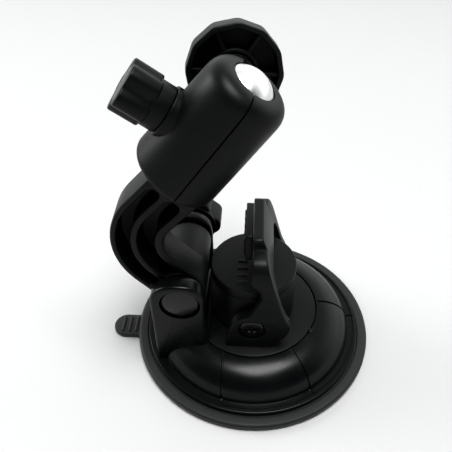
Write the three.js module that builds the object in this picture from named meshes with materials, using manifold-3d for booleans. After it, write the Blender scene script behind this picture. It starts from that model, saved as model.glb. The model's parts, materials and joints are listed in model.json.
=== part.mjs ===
// Suction-cup windscreen mount for a dash camera, in millimetres, +Z up.
// The origin is the middle of the suction pad's underside. The arm swings in the XZ plane,
// so every hinge of the base lies along Y; +Y is the side of the camera screw.
import * as THREE from "three";
import { mergeVertices } from "three/addons/utils/BufferGeometryUtils.js";
import Module from "manifold-3d";

const wasm = await Module();
wasm.setup();

// ---------------------------------------------------------------- driving dimensions
const GAP = 0.3; // running clearance between neighbouring pieces

// suction pad
const padRadius = 36;
const padThickness = 2;
const padRimHeight = 2.4;
const padRimWidth = 3.1;
const padBossRadius = 10.4;
const padBossHeight = 4.5;
const tabReach = 8;
const tabWidth = 8;
const tabThickness = 1.8;
const tabSide = -2.3; // the tab's centre line in Y

// base cover
const coverRadius = padRadius - padRimWidth - GAP;
const coverFlange = 1.4;
const coverWall = 1.9;
const domeFoot = 29.8; // radius where the dome meets the flange
const platformRadius = 19.9;
const platformTop = 11.4;
const platePocket = 1.5;
const guideRadius = 8.2;
const guideTop = 15.5;
const domeSteps = 7;
const domeGrooves = [5.5, -55, 65.5, 125.5]; // degrees round from +X
const grooveWidth = 0.7;
const grooveDepth = 0.45;
const DOME_FOOT_ANGLE = 0.2; // radians of the dome's ellipse left off at its foot

// plunger and lever
const plungerRadius = 12.3;
const plungerTop = 30.4;
const plungerWall = 2;
const stemRadius = 4.6;
const stemTop = 26;
const footRadius = 8;
const footThickness = 1.2;
const pinHeight = 18.9;
const pinRadius = 1.5;
const lockLift = 3.5; // how far the cam lifts the plunger in a quarter turn
const cheekThickness = 3;
const cheekGap = 0.7; // cheek to plunger cap
const leverTop = 47;
const leverShoulder = 43.6;
const windowTop = 36.6; // underside of the lever's cross-bar
const gripHalf = 8.6; // half the width of the lever's grip
const gripLeft = -0.4;
const gripRight = 2.3;
const padBottom = 37.4; // lower edge of the thumb pad
const eyeRadius = 3.9;
const eyeDepth = 1;

// arm pivot
const hubRadius = 6.8; // the arm's hub, which turns beside the plunger
const hubClearance = 0.6;
const pivot = { x: -(plungerRadius + hubClearance + hubRadius), z: 28.6 };
const boltRadius = 2.5;
const boltHeadRadius = 5.4;
const boltHeadThickness = 2.2;
const earLeft = 8.2; // from the pivot to each side of the front ear, and to its top
const earRight = 6.8;
const earRise = 7.1;
const earFront = -16;
const earThickness = 4.6;
const earPocket = 3;
const rearEarRadius = 7.6;
const rearEarThickness = 3;
const saddleTop = 15;
const toothCount = 20;
const toothHeight = 0.6;

// arm bracket
const bracketDepth = 9;
const bracketWeb = 1.5;
const bendRadius = 14;
const bracketHalf = 6.9;
const bendSweep = THREE.MathUtils.degToRad(42);
const lowerLeg = 10.5;
const upperLeg = 11.1;
const channelEnd = 8.6; // channels stop this far along the upper leg
const outerRib = 1.5;
const middleRib = 1.7;
const innerRib = 2.2;
const bossRadius = 6.6;
const bossLength = 12.2;

// clamping head
const headTilt = THREE.MathUtils.degToRad(54.5); // above the horizontal
const headMiddle = -3; // the head's centre plane in Y
const headFootRadius = 11.5; // the barrel is a cone, widest at the arm
const headTopRadius = 10.2;
const headCrown = 4.5; // edge radius at the ball end
const headFoot = 1.5;
const barrelShift = -0.95; // the barrel's foot stands off the seam, towards the knob
const barrelLean = THREE.MathUtils.degToRad(2.5); // and its axis leans back over the seam
const seam = 0.4; // slit between the two jaws
const tongue = { length: 8, halfX: 3.4, front: -6.5, back: 0.5 }; // the arm's end, inside the head
const ballRadius = 7.2;
const mouthHeight = 5.1; // the head's mouth, above the ball's centre
const neckRadius = 2.6;

// clamp screw and knobs
const clampAboveTongue = 5.6; // the screw's axis, above the arm's tongue
const ballAboveClamp = 5.5; // and the ball's lowest point, above that axis
const clampScrewRadius = 2;
const nutSeat = 5; // from the seam to the clamp nut
const seatProud = 0.6; // how far the knob's seat stands off the barrel
const washerThickness = 0.7;
const knobNeckLength = 2.2;
const knobNeckRadius = 5.7;
const clampKnobEnd = 22.9; // far face, from the seam
const clampKnobRadius = 6.6;
const clampWasherRadius = 5.2;
const knobCapRadius = 4.9;
const pivotKnobLength = 9.2;
const pivotKnobNeck = 0.8;
const pivotKnobRadius = 9;
const lobes = 5;
const lobeDepth = 0.1; // share of the knob's radius that a flute takes

// camera screw and lock wheel
const screwRadius = 3.175; // 1/4 inch thread
const screwTip = 28.6; // from the ball's centre
const screwDroop = THREE.MathUtils.degToRad(12); // below square to the head, at rest
const wheelNear = 16.3;
const wheelThickness = 5.6;
const wheelFlat = 11.8; // centre to flat
const wheelSides = 12;
const wheelWall = 1.3;
const wheelWeb = 1.3;
const wheelHub = 5.9;
const wheelRibs = 6;
const insertRadius = 4.7;
const padRingRadius = 9.4;
const padRingThickness = 1.2;

// derived places
const plateTop = platformTop;
const earBack = earFront + earThickness;
const bracketFront = earBack + 0.9;
const bracketBack = bracketFront + bracketDepth;
const legDown = new THREE.Vector2(Math.sin(bendSweep), -Math.cos(bendSweep));
const legUp = new THREE.Vector2(Math.sin(bendSweep), Math.cos(bendSweep));
const bend = {
  x: pivot.x - legDown.x * lowerLeg + Math.cos(bendSweep) * bendRadius,
  z: pivot.z - legDown.y * lowerLeg + Math.sin(bendSweep) * bendRadius,
};
const headFootAt = {
  x: bend.x + legUp.x * upperLeg - Math.cos(bendSweep) * bendRadius,
  z: bend.z + legUp.y * upperLeg + Math.sin(bendSweep) * bendRadius,
};
const bossEnd = bracketBack + bossLength;
const rearEarFront = bossEnd + toothHeight + GAP;
const rearEarBack = rearEarFront + rearEarThickness;
const pivotWasherAt = rearEarBack + GAP;
const pivotKnobAt = pivotWasherAt + washerThickness + GAP;
const cheekInner = plungerRadius + cheekGap;
const cheekOuter = cheekInner + cheekThickness;
// the head's stack, from its foot: tongue, clamp screw, ball, mouth
const clampHeight = tongue.length + clampAboveTongue;
const ballHeight = clampHeight + ballAboveClamp + ballRadius;
const headLength = ballHeight + mouthHeight;
// the barrel's radius and its middle, from the seam, where the clamp screw crosses it
const clampShare = clampHeight / headLength;
const barrelRadius = headFootRadius + (headTopRadius - headFootRadius) * clampShare;
const barrelMiddle = barrelShift + Math.tan(barrelLean) * clampHeight;
const knobSeat = barrelRadius - barrelMiddle + seatProud;

// ---------------------------------------------------------------- solid helpers
function solid(geometry) {
  const plain = geometry.index ? geometry.toNonIndexed() : geometry.clone();
  plain.deleteAttribute("normal");
  plain.deleteAttribute("uv");
  const merged = mergeVertices(plain, 1e-4);
  const source = merged.index.array;
  const triVerts = [];
  for (let i = 0; i < source.length; i += 3) {
    const [a, b, c] = [source[i], source[i + 1], source[i + 2]];
    if (a !== b && b !== c && c !== a) triVerts.push(a, b, c);
  }
  const build = (order) =>
    new wasm.Manifold(
      new wasm.Mesh({
        numProp: 3,
        vertProperties: merged.attributes.position.array,
        triVerts: new Uint32Array(order),
      }),
    );
  const made = build(triVerts);
  if (made.volume() > 0) return made;
  return build(triVerts.reverse());
}

function geometryOf(made) {
  const mesh = made.getMesh();
  const geometry = new THREE.BufferGeometry();
  const stride = mesh.numProp;
  const count = mesh.vertProperties.length / stride;
  const position = new Float32Array(count * 3);
  for (let i = 0; i < count; i++)
    for (let k = 0; k < 3; k++) position[i * 3 + k] = mesh.vertProperties[i * stride + k];
  geometry.setAttribute("position", new THREE.BufferAttribute(position, 3));
  geometry.setIndex(new THREE.BufferAttribute(new Uint32Array(mesh.triVerts), 1));
  const flat = geometry.toNonIndexed();
  flat.computeVertexNormals();
  return flat;
}

const join = (first, ...rest) => rest.reduce((sum, one) => sum.add(one), first);
const cut = (first, ...rest) => rest.reduce((left, one) => left.subtract(one), first);
const at = (made, x, y, z) => made.translate([x, y, z]);

// A solid turned about Z from [radius, height] pairs.
function turned(profile, segments = 48) {
  const points = profile.map(([r, h]) => new THREE.Vector2(r, h));
  return solid(new THREE.LatheGeometry(points, segments).rotateX(Math.PI / 2));
}

// The same, turned about Y: heights run along +Y.
const turnedY = (profile, segments = 48) => turned(profile, segments).rotate([-90, 0, 0]);
// The same, turned about X: heights run along +X.
const turnedX = (profile, segments = 48) => turned(profile, segments).rotate([0, 90, 0]);

const disc = (radius, low, high) => [
  [0, low],
  [radius, low],
  [radius, high],
  [0, high],
];
const ring = (inner, outer, low, high) => [
  [inner, low],
  [outer, low],
  [outer, high],
  [inner, high],
  [inner, low],
];

// A plate in the XZ plane between two Y values.
function plateXZ(shape, low, high, curveSegments = 12) {
  const made = new THREE.ExtrudeGeometry(shape, { depth: high - low, bevelEnabled: false, curveSegments });
  return solid(made.rotateX(Math.PI / 2).translate(0, high, 0));
}

// A plate in the YZ plane between two X values.
function plateYZ(shape, low, high, curveSegments = 12) {
  const made = new THREE.ExtrudeGeometry(shape, { depth: high - low, bevelEnabled: false, curveSegments });
  const turn = new THREE.Matrix4().makeBasis(
    new THREE.Vector3(0, 1, 0),
    new THREE.Vector3(0, 0, 1),
    new THREE.Vector3(1, 0, 0),
  );
  return solid(made.applyMatrix4(turn).translate(low, 0, 0));
}

function box(x0, x1, y0, y1, z0, z1) {
  const made = new THREE.BoxGeometry(x1 - x0, y1 - y0, z1 - z0);
  return solid(made.translate((x0 + x1) / 2, (y0 + y1) / 2, (z0 + z1) / 2));
}

// A closed outline through [x, y] pairs.
const outline = (points) => new THREE.Shape(points.map(([x, y]) => new THREE.Vector2(x, y)));

// A regular polygon, given the distance from its middle to a flat.
function polygon(sides, flat, turn = 0) {
  const reach = flat / Math.cos(Math.PI / sides);
  const points = [];
  for (let i = 0; i < sides; i++) {
    const a = turn + ((i + 0.5) * 2 * Math.PI) / sides;
    points.push([reach * Math.cos(a), reach * Math.sin(a)]);
  }
  return outline(points);
}

// Points on an arc, both ends included.
function arc(cx, cy, radius, from, to, steps) {
  const points = [];
  for (let i = 0; i <= steps; i++) {
    const a = from + ((to - from) * i) / steps;
    points.push([cx + radius * Math.cos(a), cy + radius * Math.sin(a)]);
  }
  return points;
}

// The outline of a hand knob: round lobes with flutes between them.
function lobedOutline(radius, turn = 0) {
  const steps = lobes * 12;
  const points = [];
  for (let i = 0; i < steps; i++) {
    const a = (i * 2 * Math.PI) / steps;
    const wave = Math.pow(0.5 - 0.5 * Math.cos(lobes * (a - turn)), 1.5);
    const r = radius * (1 - 2 * lobeDepth * wave);
    points.push([r * Math.cos(a), r * Math.sin(a)]);
  }
  return outline(points);
}

// ---------------------------------------------------------------- materials
const finish = (color, roughness, metalness = 0) =>
  new THREE.MeshStandardMaterial({ color, roughness, metalness });
const rubber = finish(0x1d1f1f, 0.8);
const glossPlastic = finish(0x17191a, 0.32);
const satinPlastic = finish(0x202324, 0.5);
const chrome = finish(0xe8e8e6, 0.08, 1);
const steel = finish(0x8f9294, 0.35, 1);

const mount = new THREE.Group();
function add(name, made, material, parent = mount) {
  const mesh = new THREE.Mesh(geometryOf(made), material);
  mesh.name = name;
  parent.add(mesh);
  return mesh;
}

// ---------------------------------------------------------------- suction pad
function suctionPad() {
  const pad = turned(
    [
      [0, 0],
      [padRadius - 1.2, 0],
      [padRadius, 0.6],
      [padRadius, padRimHeight - 0.7],
      [padRadius - 0.6, padRimHeight],
      [coverRadius + GAP, padRimHeight],
      [coverRadius + GAP, padThickness],
      [padBossRadius, padThickness],
      [padBossRadius - 0.5, padBossHeight],
      [footRadius + GAP, padBossHeight],
      [footRadius + GAP, padBossHeight - footThickness - GAP],
      [0, padBossHeight - footThickness - GAP],
    ],
    60,
  );
  const half = tabWidth / 2;
  const tip = -padRadius - tabReach + half;
  const tabShape = outline([
    [-padRadius + 2, tabSide - half],
    [-padRadius + 2, tabSide + half],
    ...arc(tip, tabSide, half, Math.PI / 2, (Math.PI * 3) / 2, 12),
  ]);
  const flat = new THREE.ExtrudeGeometry(tabShape, { depth: tabThickness, bevelEnabled: false });
  const parts = [solid(flat)];
  for (let i = 0; i < 3; i++) {
    const x = tip - 1.2 + i * 2.1;
    parts.push(box(x, x + 0.8, tabSide - half + 0.7, tabSide + half - 0.7, 0.5, tabThickness + 0.5));
  }
  return join(pad, ...parts);
}

// ---------------------------------------------------------------- base cover with its two pivot ears
function tombstone(left, right, rise, foot) {
  const top = [];
  for (let i = 0; i <= 28; i++) {
    const a = (i / 28) * Math.PI;
    const c = Math.cos(a);
    const x = (c > 0 ? right : left) * Math.sign(c) * Math.pow(Math.abs(c), 0.85);
    top.push([pivot.x + x, pivot.z + rise * Math.pow(Math.sin(a), 0.85)]);
  }
  return outline([[pivot.x - left, foot], [pivot.x + right, foot], ...top]);
}

function baseCover() {
  const flangeLow = padThickness + GAP;
  const flangeTop = flangeLow + coverFlange;
  const dome = (inset) => {
    const points = [];
    for (let i = 0; i <= domeSteps; i++) {
      const a = DOME_FOOT_ANGLE + ((Math.PI / 2 - DOME_FOOT_ANGLE) * i) / domeSteps;
      const width = (domeFoot - platformRadius) / Math.cos(DOME_FOOT_ANGLE);
      const rise = (platformTop - flangeTop) / (1 - Math.sin(DOME_FOOT_ANGLE));
      points.push([
        platformRadius + (width - inset) * Math.cos(a),
        platformTop - rise + (rise - inset) * Math.sin(a),
      ]);
    }
    return points;
  };
  const floor = platformTop - platePocket;
  const under = floor - 1.7;
  const inside = dome(coverWall)
    .filter(([, z]) => z > flangeLow + 0.3)
    .reverse();
  const shell = turned(
    [
      [coverRadius, flangeLow],
      [coverRadius, flangeTop - 0.4],
      [coverRadius - 0.4, flangeTop],
      ...dome(0),
      [platformRadius - 0.3, platformTop],
      [platformRadius - 0.3, floor],
      [guideRadius, floor],
      [guideRadius, guideTop],
      [stemRadius + GAP + 0.1, guideTop],
      [stemRadius + GAP + 0.1, under],
      [platformRadius - 2, under],
      ...inside.filter(([r]) => r > platformRadius),
      [domeFoot - coverWall, flangeLow],
      [coverRadius, flangeLow],
    ],
    56,
  );
  const foot = padRimHeight + GAP; // inside the flange, and clear of the pad's rim
  const front = plateXZ(tombstone(earLeft, earRight, earRise, foot), earFront, earBack);
  const rear = plateXZ(tombstone(rearEarRadius, earRight, rearEarRadius, foot), rearEarFront, rearEarBack);
  const saddle = box(
    pivot.x - rearEarRadius + 1,
    pivot.x + earRight - 0.6,
    earBack - 0.5,
    rearEarFront + 0.5,
    foot,
    saddleTop,
  );
  const boltHole = turnedY(disc(boltRadius + GAP, earFront - 1, rearEarBack + 1), 24);
  const pocket = turnedY(disc(boltHeadRadius + 0.4, earFront - 1, earFront + earPocket), 36);
  const capRoom = turned(disc(plungerRadius + 0.8, platformTop, guideTop + 30), 48);
  const plateRoom = turned(ring(guideRadius + 0.1, platformRadius - 0.35, platformTop, guideTop), 48);
  const post = cut(
    join(front, rear, saddle),
    at(boltHole, pivot.x, 0, pivot.z),
    at(pocket, pivot.x, 0, pivot.z),
    capRoom,
  );
  const grooveFloor = dome(grooveDepth);
  const skin = turned([
    ...grooveFloor,
    [platformRadius, guideTop],
    [coverRadius, guideTop],
    [coverRadius, grooveFloor[0][1]],
    grooveFloor[0],
  ]);
  const grooves = domeGrooves.map((degrees) =>
    box(platformRadius, domeFoot, -grooveWidth / 2, grooveWidth / 2, 0, 20).rotate([0, 0, degrees]),
  );
  const lines = join(grooves[0], ...grooves.slice(1)).intersect(skin);
  const body = join(shell.subtract(lines), post);
  return body.subtract(plateRoom.intersect(box(-9, 20, -20, 20, 0, 60)));
}

function camPlate() {
  const low = platformTop - platePocket + 0.2;
  const whole = turned(ring(guideRadius + GAP, platformRadius - 0.6, low, plateTop), 56);
  const postRoom = box(-40, pivot.x + earRight + GAP, -30, 30, 0, 40);
  return whole.subtract(postRoom);
}

// ---------------------------------------------------------------- plunger and its pin
function plungerCap() {
  const low = plateTop + 0.5;
  const groove = plungerTop - 2.8;
  const cap = turned(
    [
      [plungerRadius - plungerWall, low],
      [plungerRadius, low],
      [plungerRadius, groove - 0.4],
      [plungerRadius - 0.3, groove - 0.2],
      [plungerRadius - 0.3, groove],
      [plungerRadius, groove + 0.2],
      [plungerRadius, plungerTop - 0.6],
      [plungerRadius - 0.6, plungerTop],
      [0, plungerTop],
      [0, plungerTop - plungerWall],
      [plungerRadius - plungerWall, plungerTop - plungerWall],
      [plungerRadius - plungerWall, low],
    ],
    48,
  );
  const hole = turnedY(disc(pinRadius + GAP, -plungerRadius - 1, plungerRadius + 1), 20);
  return cap.subtract(at(hole, 0, 0, pinHeight));
}

function plungerStem() {
  const low = padBossHeight - footThickness;
  const stem = turned(
    [
      [0, low],
      [footRadius, low],
      [footRadius, padBossHeight],
      [stemRadius, padBossHeight],
      [stemRadius, stemTop - 0.8],
      [stemRadius - 0.8, stemTop],
      [0, stemTop],
    ],
    32,
  );
  const hole = turnedY(disc(pinRadius + GAP, -stemRadius - 1, stemRadius + 1), 20);
  return stem.subtract(at(hole, 0, 0, pinHeight));
}

function leverPin() {
  const head = -cheekOuter + eyeDepth;
  return at(
    turnedY(
      [
        [0, head - 0.8],
        [eyeRadius - 1.2, head - 0.7],
        [eyeRadius - 0.4, head - 0.3],
        [eyeRadius - 0.4, head - 0.1],
        [pinRadius, head - 0.1],
        [pinRadius, cheekOuter + 1.1],
        [0, cheekOuter + 1.1],
      ],
      28,
    ),
    0,
    0,
    pinHeight,
  );
}

const pinClip = () =>
  at(turnedY(ring(pinRadius + 0.2, 3.4, cheekOuter + 0.2, cheekOuter + 0.8), 24), 0, 0, pinHeight);

// ---------------------------------------------------------------- cam lever
// Seen from the front the cam's foot is a spiral: its reach below the pin grows evenly with the
// turn, so a quarter turn lifts the plunger by lockLift.
function leverSide() {
  const rest = pinHeight - plateTop - GAP;
  const growth = lockLift / (Math.PI / 2);
  const spiral = [];
  for (let i = 0; i <= 12; i++) {
    const a = (i / 12) * (Math.PI / 2);
    const reach = rest + growth * a;
    spiral.push([
      reach * Math.sin(a) + growth * Math.cos(a),
      pinHeight - reach * Math.cos(a) + growth * Math.sin(a),
    ]);
  }
  return outline([
    [-7.4, pinHeight - rest],
    ...spiral,
    [9.8, pinHeight + 3.6],
    [8.4, pinHeight + 7],
    [4.6, leverShoulder - 3.7],
    [gripRight, leverTop],
    [gripLeft, leverTop],
    [gripLeft, padBottom],
    [1.9, windowTop - 1.6],
    [2.7, pinHeight + 13],
    [-0.2, pinHeight + 6],
    [-4.6, pinHeight + 4],
    [-6.4, pinHeight],
  ]);
}

// Seen from the side the lever is a bail that spans the plunger cap.
function leverFront() {
  const half = (s) => [
    [s * cheekOuter, 10],
    [s * cheekOuter, leverShoulder - 6],
    [s * (cheekOuter - 1.1), leverShoulder - 2.4],
    [s * (cheekOuter - 3), leverShoulder - 0.5],
    [s * (gripHalf + 2), leverShoulder],
    [s * gripHalf, leverShoulder + 0.2],
    [s * gripHalf, leverTop - 0.6],
    [s * (gripHalf - 0.6), leverTop],
  ];
  const inner = (s) => [
    [s * cheekInner, 10],
    [s * cheekInner, windowTop - 5],
    [s * (cheekInner - 1.4), windowTop - 1.6],
    [s * (cheekInner - 4), windowTop],
  ];
  return outline([...half(-1), ...half(1).reverse(), ...inner(1), ...inner(-1).reverse()]);
}

function leverBail() {
  const side = plateXZ(leverSide(), -cheekOuter - 1, cheekOuter + 1);
  const front = plateYZ(leverFront(), -12, 14);
  const hole = turnedY(disc(pinRadius + GAP, -cheekOuter - 1, cheekOuter + 1), 20);
  const eye = turnedY(disc(eyeRadius, -cheekOuter - 1, -cheekOuter + eyeDepth), 28);
  return cut(side.intersect(front), at(hole, 0, 0, pinHeight), at(eye, 0, 0, pinHeight));
}

function thumbPad() {
  const left = gripLeft - GAP - 1.7;
  const right = gripLeft - GAP;
  const pad = box(left, right, -gripHalf + 1.6, gripHalf - 1.2, padBottom, leverTop - 0.5);
  const bars = [];
  for (let i = 0; i < 5; i++) {
    const y = -gripHalf + 2.3 + i * 2.7;
    bars.push(box(left - 0.4, left + 0.2, y, y + 1.3, padBottom + 1.5, leverTop - 2));
  }
  return join(pad, ...bars);
}

// ---------------------------------------------------------------- arm bracket
// A band that follows the bracket's centre line between two radii about the bend's centre.
function bandOutline(inner, outer, lowEnd, highEnd) {
  const out = new THREE.Vector2(-Math.cos(bendSweep), Math.sin(bendSweep));
  const place = (radius, along, up) => {
    const s = up ? 1 : -1;
    const leg = up ? legUp : legDown;
    return [bend.x + out.x * radius + leg.x * along, bend.z + s * out.y * radius + leg.y * along];
  };
  const from = Math.PI + bendSweep;
  const to = Math.PI - bendSweep;
  return outline([
    place(outer, lowEnd, false),
    ...arc(bend.x, bend.z, outer, from, to, 14),
    place(outer, highEnd, true),
    place(inner, highEnd, true),
    ...arc(bend.x, bend.z, inner, to, from, 14),
    place(inner, lowEnd, false),
  ]);
}

function headEnvelope(grow = 0) {
  const crown = arc(headTopRadius - headCrown, headLength - headCrown, headCrown + grow, 0, Math.PI / 2, 6);
  const foot = arc(headFootRadius - headFoot, headFoot, headFoot + grow, -Math.PI / 2, 0, 3);
  return turned([[0, -grow], ...foot, ...crown, [0, headLength + grow]], 40)
    .rotate([0, THREE.MathUtils.radToDeg(barrelLean), 0])
    .translate([barrelShift, 0, 0]);
}

// From the head's own frame to the mount's.
const toHead = (made) =>
  made.rotate([0, 90 - THREE.MathUtils.radToDeg(headTilt), 0]).translate([headFootAt.x, headMiddle, headFootAt.z]);

function tongueBlock(grow) {
  const { length, halfX, front, back } = tongue;
  return box(-halfX - grow, halfX + grow, front - grow, back + grow, -3, length + grow);
}

function tooth(angle, length, height) {
  const wedge = outline([
    [-0.45, -0.3],
    [0.45, -0.3],
    [0.15, height],
    [-0.15, height],
  ]);
  const bar = new THREE.ExtrudeGeometry(wedge, { depth: length, bevelEnabled: false });
  // the wedge's own Y becomes +Y, its length runs outwards from the hub
  return solid(bar.translate(0, 0, bossRadius - length - 0.15).rotateY(angle));
}

function armBracket() {
  const high = upperLeg + 4;
  const band = plateXZ(
    bandOutline(bendRadius - bracketHalf, bendRadius + bracketHalf, lowerLeg, high),
    bracketFront,
    bracketBack,
  );
  const hub = at(turnedY(disc(hubRadius, bracketFront, bracketBack), 40), pivot.x, 0, pivot.z);
  const boss = at(turnedY(disc(bossRadius, bracketBack - 1, bossEnd), 40), pivot.x, 0, pivot.z);
  const outerFrom = bendRadius + bracketHalf - outerRib;
  const innerFrom = bendRadius - bracketHalf + innerRib;
  const middle = bendRadius + 0.75;
  const floor = bracketBack - bracketWeb;
  const channels = [
    bandOutline(middle + middleRib / 2, outerFrom, lowerLeg - 4.6, channelEnd),
    bandOutline(innerFrom, middle - middleRib / 2, lowerLeg - 7.6, channelEnd),
  ].map((shape) => plateXZ(shape, bracketFront - 1, floor));
  const teeth = [];
  for (let i = 0; i < toothCount; i++) {
    const one = tooth((i * 2 * Math.PI) / toothCount, 2.4, toothHeight);
    teeth.push(at(one, pivot.x, bossEnd, pivot.z));
  }
  const bore = turnedY(disc(boltRadius + GAP, bracketFront - 1, bossEnd + 2), 24);
  const screwHole = turnedX(disc(1.5 + GAP, -9, 12), 18).translate([0, -3, 4]);
  const body = cut(
    join(band, hub, boss, ...teeth),
    ...channels,
    toHead(headEnvelope(GAP)),
    toHead(box(-20, 20, -20, 20, -GAP, 20)),
  );
  return cut(join(body, toHead(tongueBlock(0))), at(bore, pivot.x, 0, pivot.z), toHead(screwHole));
}

// ---------------------------------------------------------------- clamping head, in its own frame
const head = new THREE.Group();
head.position.set(headFootAt.x, headMiddle, headFootAt.z);
head.rotation.y = Math.PI / 2 - headTilt;
mount.add(head);

function headBlank() {
  const seatBoss = turnedX(disc(knobNeckRadius + 0.5, -knobSeat, 0), 36).translate([0, 0, clampHeight]);
  const socket = solid(new THREE.SphereGeometry(ballRadius + GAP, 28, 16)).translate([0, 0, ballHeight]);
  const slotHalf = neckRadius + 0.6;
  const slot = join(
    box(-slotHalf, slotHalf, 0, headFootRadius + 2, ballHeight - 0.8, headLength + 2),
    turnedY(disc(slotHalf, 0, headFootRadius + 2), 28)
      .rotate([-THREE.MathUtils.radToDeg(screwDroop), 0, 0])
      .translate([0, 0, ballHeight]),
  );
  const screwWay = turnedX(disc(clampScrewRadius + GAP, -knobSeat - 2, headFootRadius + 2), 24);
  const nutPocket = nut(3.5 + GAP, 0, nutSeat - GAP, headFootRadius + 2);
  const shellScrewWay = turnedX(
    [
      [0, -7.2],
      [1.5 + GAP, -7.2],
      [1.5 + GAP, 5.5],
      [3 + GAP, 7.3],
      [3 + GAP, 14],
      [0, 14],
    ],
    20,
  ).translate([0, -3, 4]);
  return cut(
    join(headEnvelope(), seatBoss),
    socket,
    slot,
    screwWay.translate([0, 0, clampHeight]),
    nutPocket,
    shellScrewWay,
    tongueBlock(GAP),
  );
}

// A hexagon nut or pocket along X at the clamp screw's height.
function nut(flat, bore, low, high) {
  const blank = plateYZ(polygon(6, flat), low, high).translate([0, 0, clampHeight]);
  if (!bore) return blank;
  const hole = turnedX(disc(bore, low - 1, high + 1), 24).translate([0, 0, clampHeight]);
  return blank.subtract(hole);
}

const jawLeft = () => headBlank().intersect(box(-30, -seam / 2, -30, 30, -5, 60));
const jawRight = () => headBlank().intersect(box(seam / 2, 30, -30, 30, -5, 60));

function shellScrew() {
  return turnedX(
    [
      [0, -6.6],
      [1.5, -6.6],
      [1.5, 5.7],
      [3, 7.5],
      [2.7, 7.9],
      [0, 7.9],
    ],
    20,
  ).translate([0, -3, 4]);
}

// The clamp knob stands on -X of the head; its profile is drawn along X and cut by its outline.
function clampKnob() {
  const near = -(knobSeat + 2 * GAP + washerThickness);
  const neckEnd = near - knobNeckLength;
  const grip = plateYZ(lobedOutline(clampKnobRadius, 0.5), -clampKnobEnd, neckEnd);
  const rounded = turnedX(
    [
      [0, -clampKnobEnd],
      [clampKnobRadius - 0.6, -clampKnobEnd],
      [clampKnobRadius, -clampKnobEnd + 0.6],
      [clampKnobRadius, neckEnd - 0.5],
      [clampKnobRadius - 0.5, neckEnd],
      [0, neckEnd],
    ],
    48,
  );
  const neck = turnedX(disc(knobNeckRadius, neckEnd - 0.5, near), 36);
  const bore = turnedX(disc(clampScrewRadius + GAP, -clampKnobEnd + 2.3, near + 1), 24);
  const capRoom = turnedX(disc(knobCapRadius + GAP, -clampKnobEnd - 1, -clampKnobEnd + 0.8), 36);
  return cut(join(grip.intersect(rounded), neck), bore, capRoom).translate([0, 0, clampHeight]);
}

const clampKnobCap = () =>
  turnedX(disc(knobCapRadius, -clampKnobEnd - 0.1, -clampKnobEnd + 0.5), 36).translate([0, 0, clampHeight]);
const clampScrew = () =>
  turnedX(disc(clampScrewRadius, -clampKnobEnd + 2.6, nutSeat + 2.6), 24).translate([0, 0, clampHeight]);
const clampWasher = () =>
  turnedX(
    ring(clampScrewRadius + GAP, clampWasherRadius, -knobSeat - GAP - washerThickness, -knobSeat - GAP),
    32,
  ).translate([0, 0, clampHeight]);

// ---------------------------------------------------------------- pivot bolt and knob, along Y
function pivotBolt() {
  const seat = earFront + earPocket - 0.1;
  return at(
    turnedY(
      [
        [0, seat - boltHeadThickness],
        [boltHeadRadius - 1.6, seat - boltHeadThickness + 0.1],
        [boltHeadRadius, seat - boltHeadThickness + 0.6],
        [boltHeadRadius, seat],
        [boltRadius, seat],
        [boltRadius, pivotKnobAt + pivotKnobLength - 2],
        [0, pivotKnobAt + pivotKnobLength - 2],
      ],
      32,
    ),
    pivot.x,
    0,
    pivot.z,
  );
}

const pivotWasher = () =>
  at(
    turnedY(ring(boltRadius + GAP, 6, pivotWasherAt, pivotWasherAt + washerThickness), 32),
    pivot.x,
    0,
    pivot.z,
  );

function pivotKnob() {
  const end = pivotKnobAt + pivotKnobLength;
  const neckEnd = pivotKnobAt + pivotKnobNeck;
  const grip = plateXZ(lobedOutline(pivotKnobRadius, 0.1), neckEnd, end);
  const rounded = turnedY(
    [
      [0, neckEnd],
      [pivotKnobRadius - 0.5, neckEnd],
      [pivotKnobRadius, neckEnd + 0.5],
      [pivotKnobRadius, end - 0.6],
      [pivotKnobRadius - 0.6, end],
      [0, end],
    ],
    48,
  );
  const neck = turnedY(disc(7.6, pivotKnobAt, neckEnd + 0.5), 36);
  const pocket = plateXZ(polygon(6, 4 + GAP), pivotKnobAt - 1, pivotKnobAt + 4.6);
  const bore = turnedY(disc(boltRadius + GAP, pivotKnobAt, end - 1.5), 24);
  return at(cut(join(grip.intersect(rounded), neck), pocket, bore), pivot.x, 0, pivot.z);
}

function pivotNut() {
  const low = pivotKnobAt + 0.2;
  const blank = plateXZ(polygon(6, 4), low, low + 4);
  const hole = turnedY(disc(boltRadius + GAP, low - 1, low + 5), 24);
  return at(blank.subtract(hole), pivot.x, 0, pivot.z);
}

// ---------------------------------------------------------------- ball, camera screw and lock wheel
// These are drawn about the ball's centre with the camera screw along +Y.
const ballGroup = new THREE.Group();
ballGroup.position.set(0, 0, ballHeight);
ballGroup.rotation.x = -screwDroop;
head.add(ballGroup);
const ballFlat = ballRadius - 0.8;

function clampBall() {
  const ball = solid(new THREE.SphereGeometry(ballRadius, 28, 16));
  return ball.subtract(box(-10, 10, ballFlat, 20, -10, 10));
}

function cameraScrew() {
  return turnedY(
    [
      [0, ballFlat + GAP],
      [neckRadius, ballFlat + GAP],
      [neckRadius, wheelNear - 3.2],
      [screwRadius, wheelNear - 2.6],
      [screwRadius, screwTip - 0.8],
      [screwRadius - 0.8, screwTip],
      [0, screwTip],
    ],
    32,
  );
}

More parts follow.
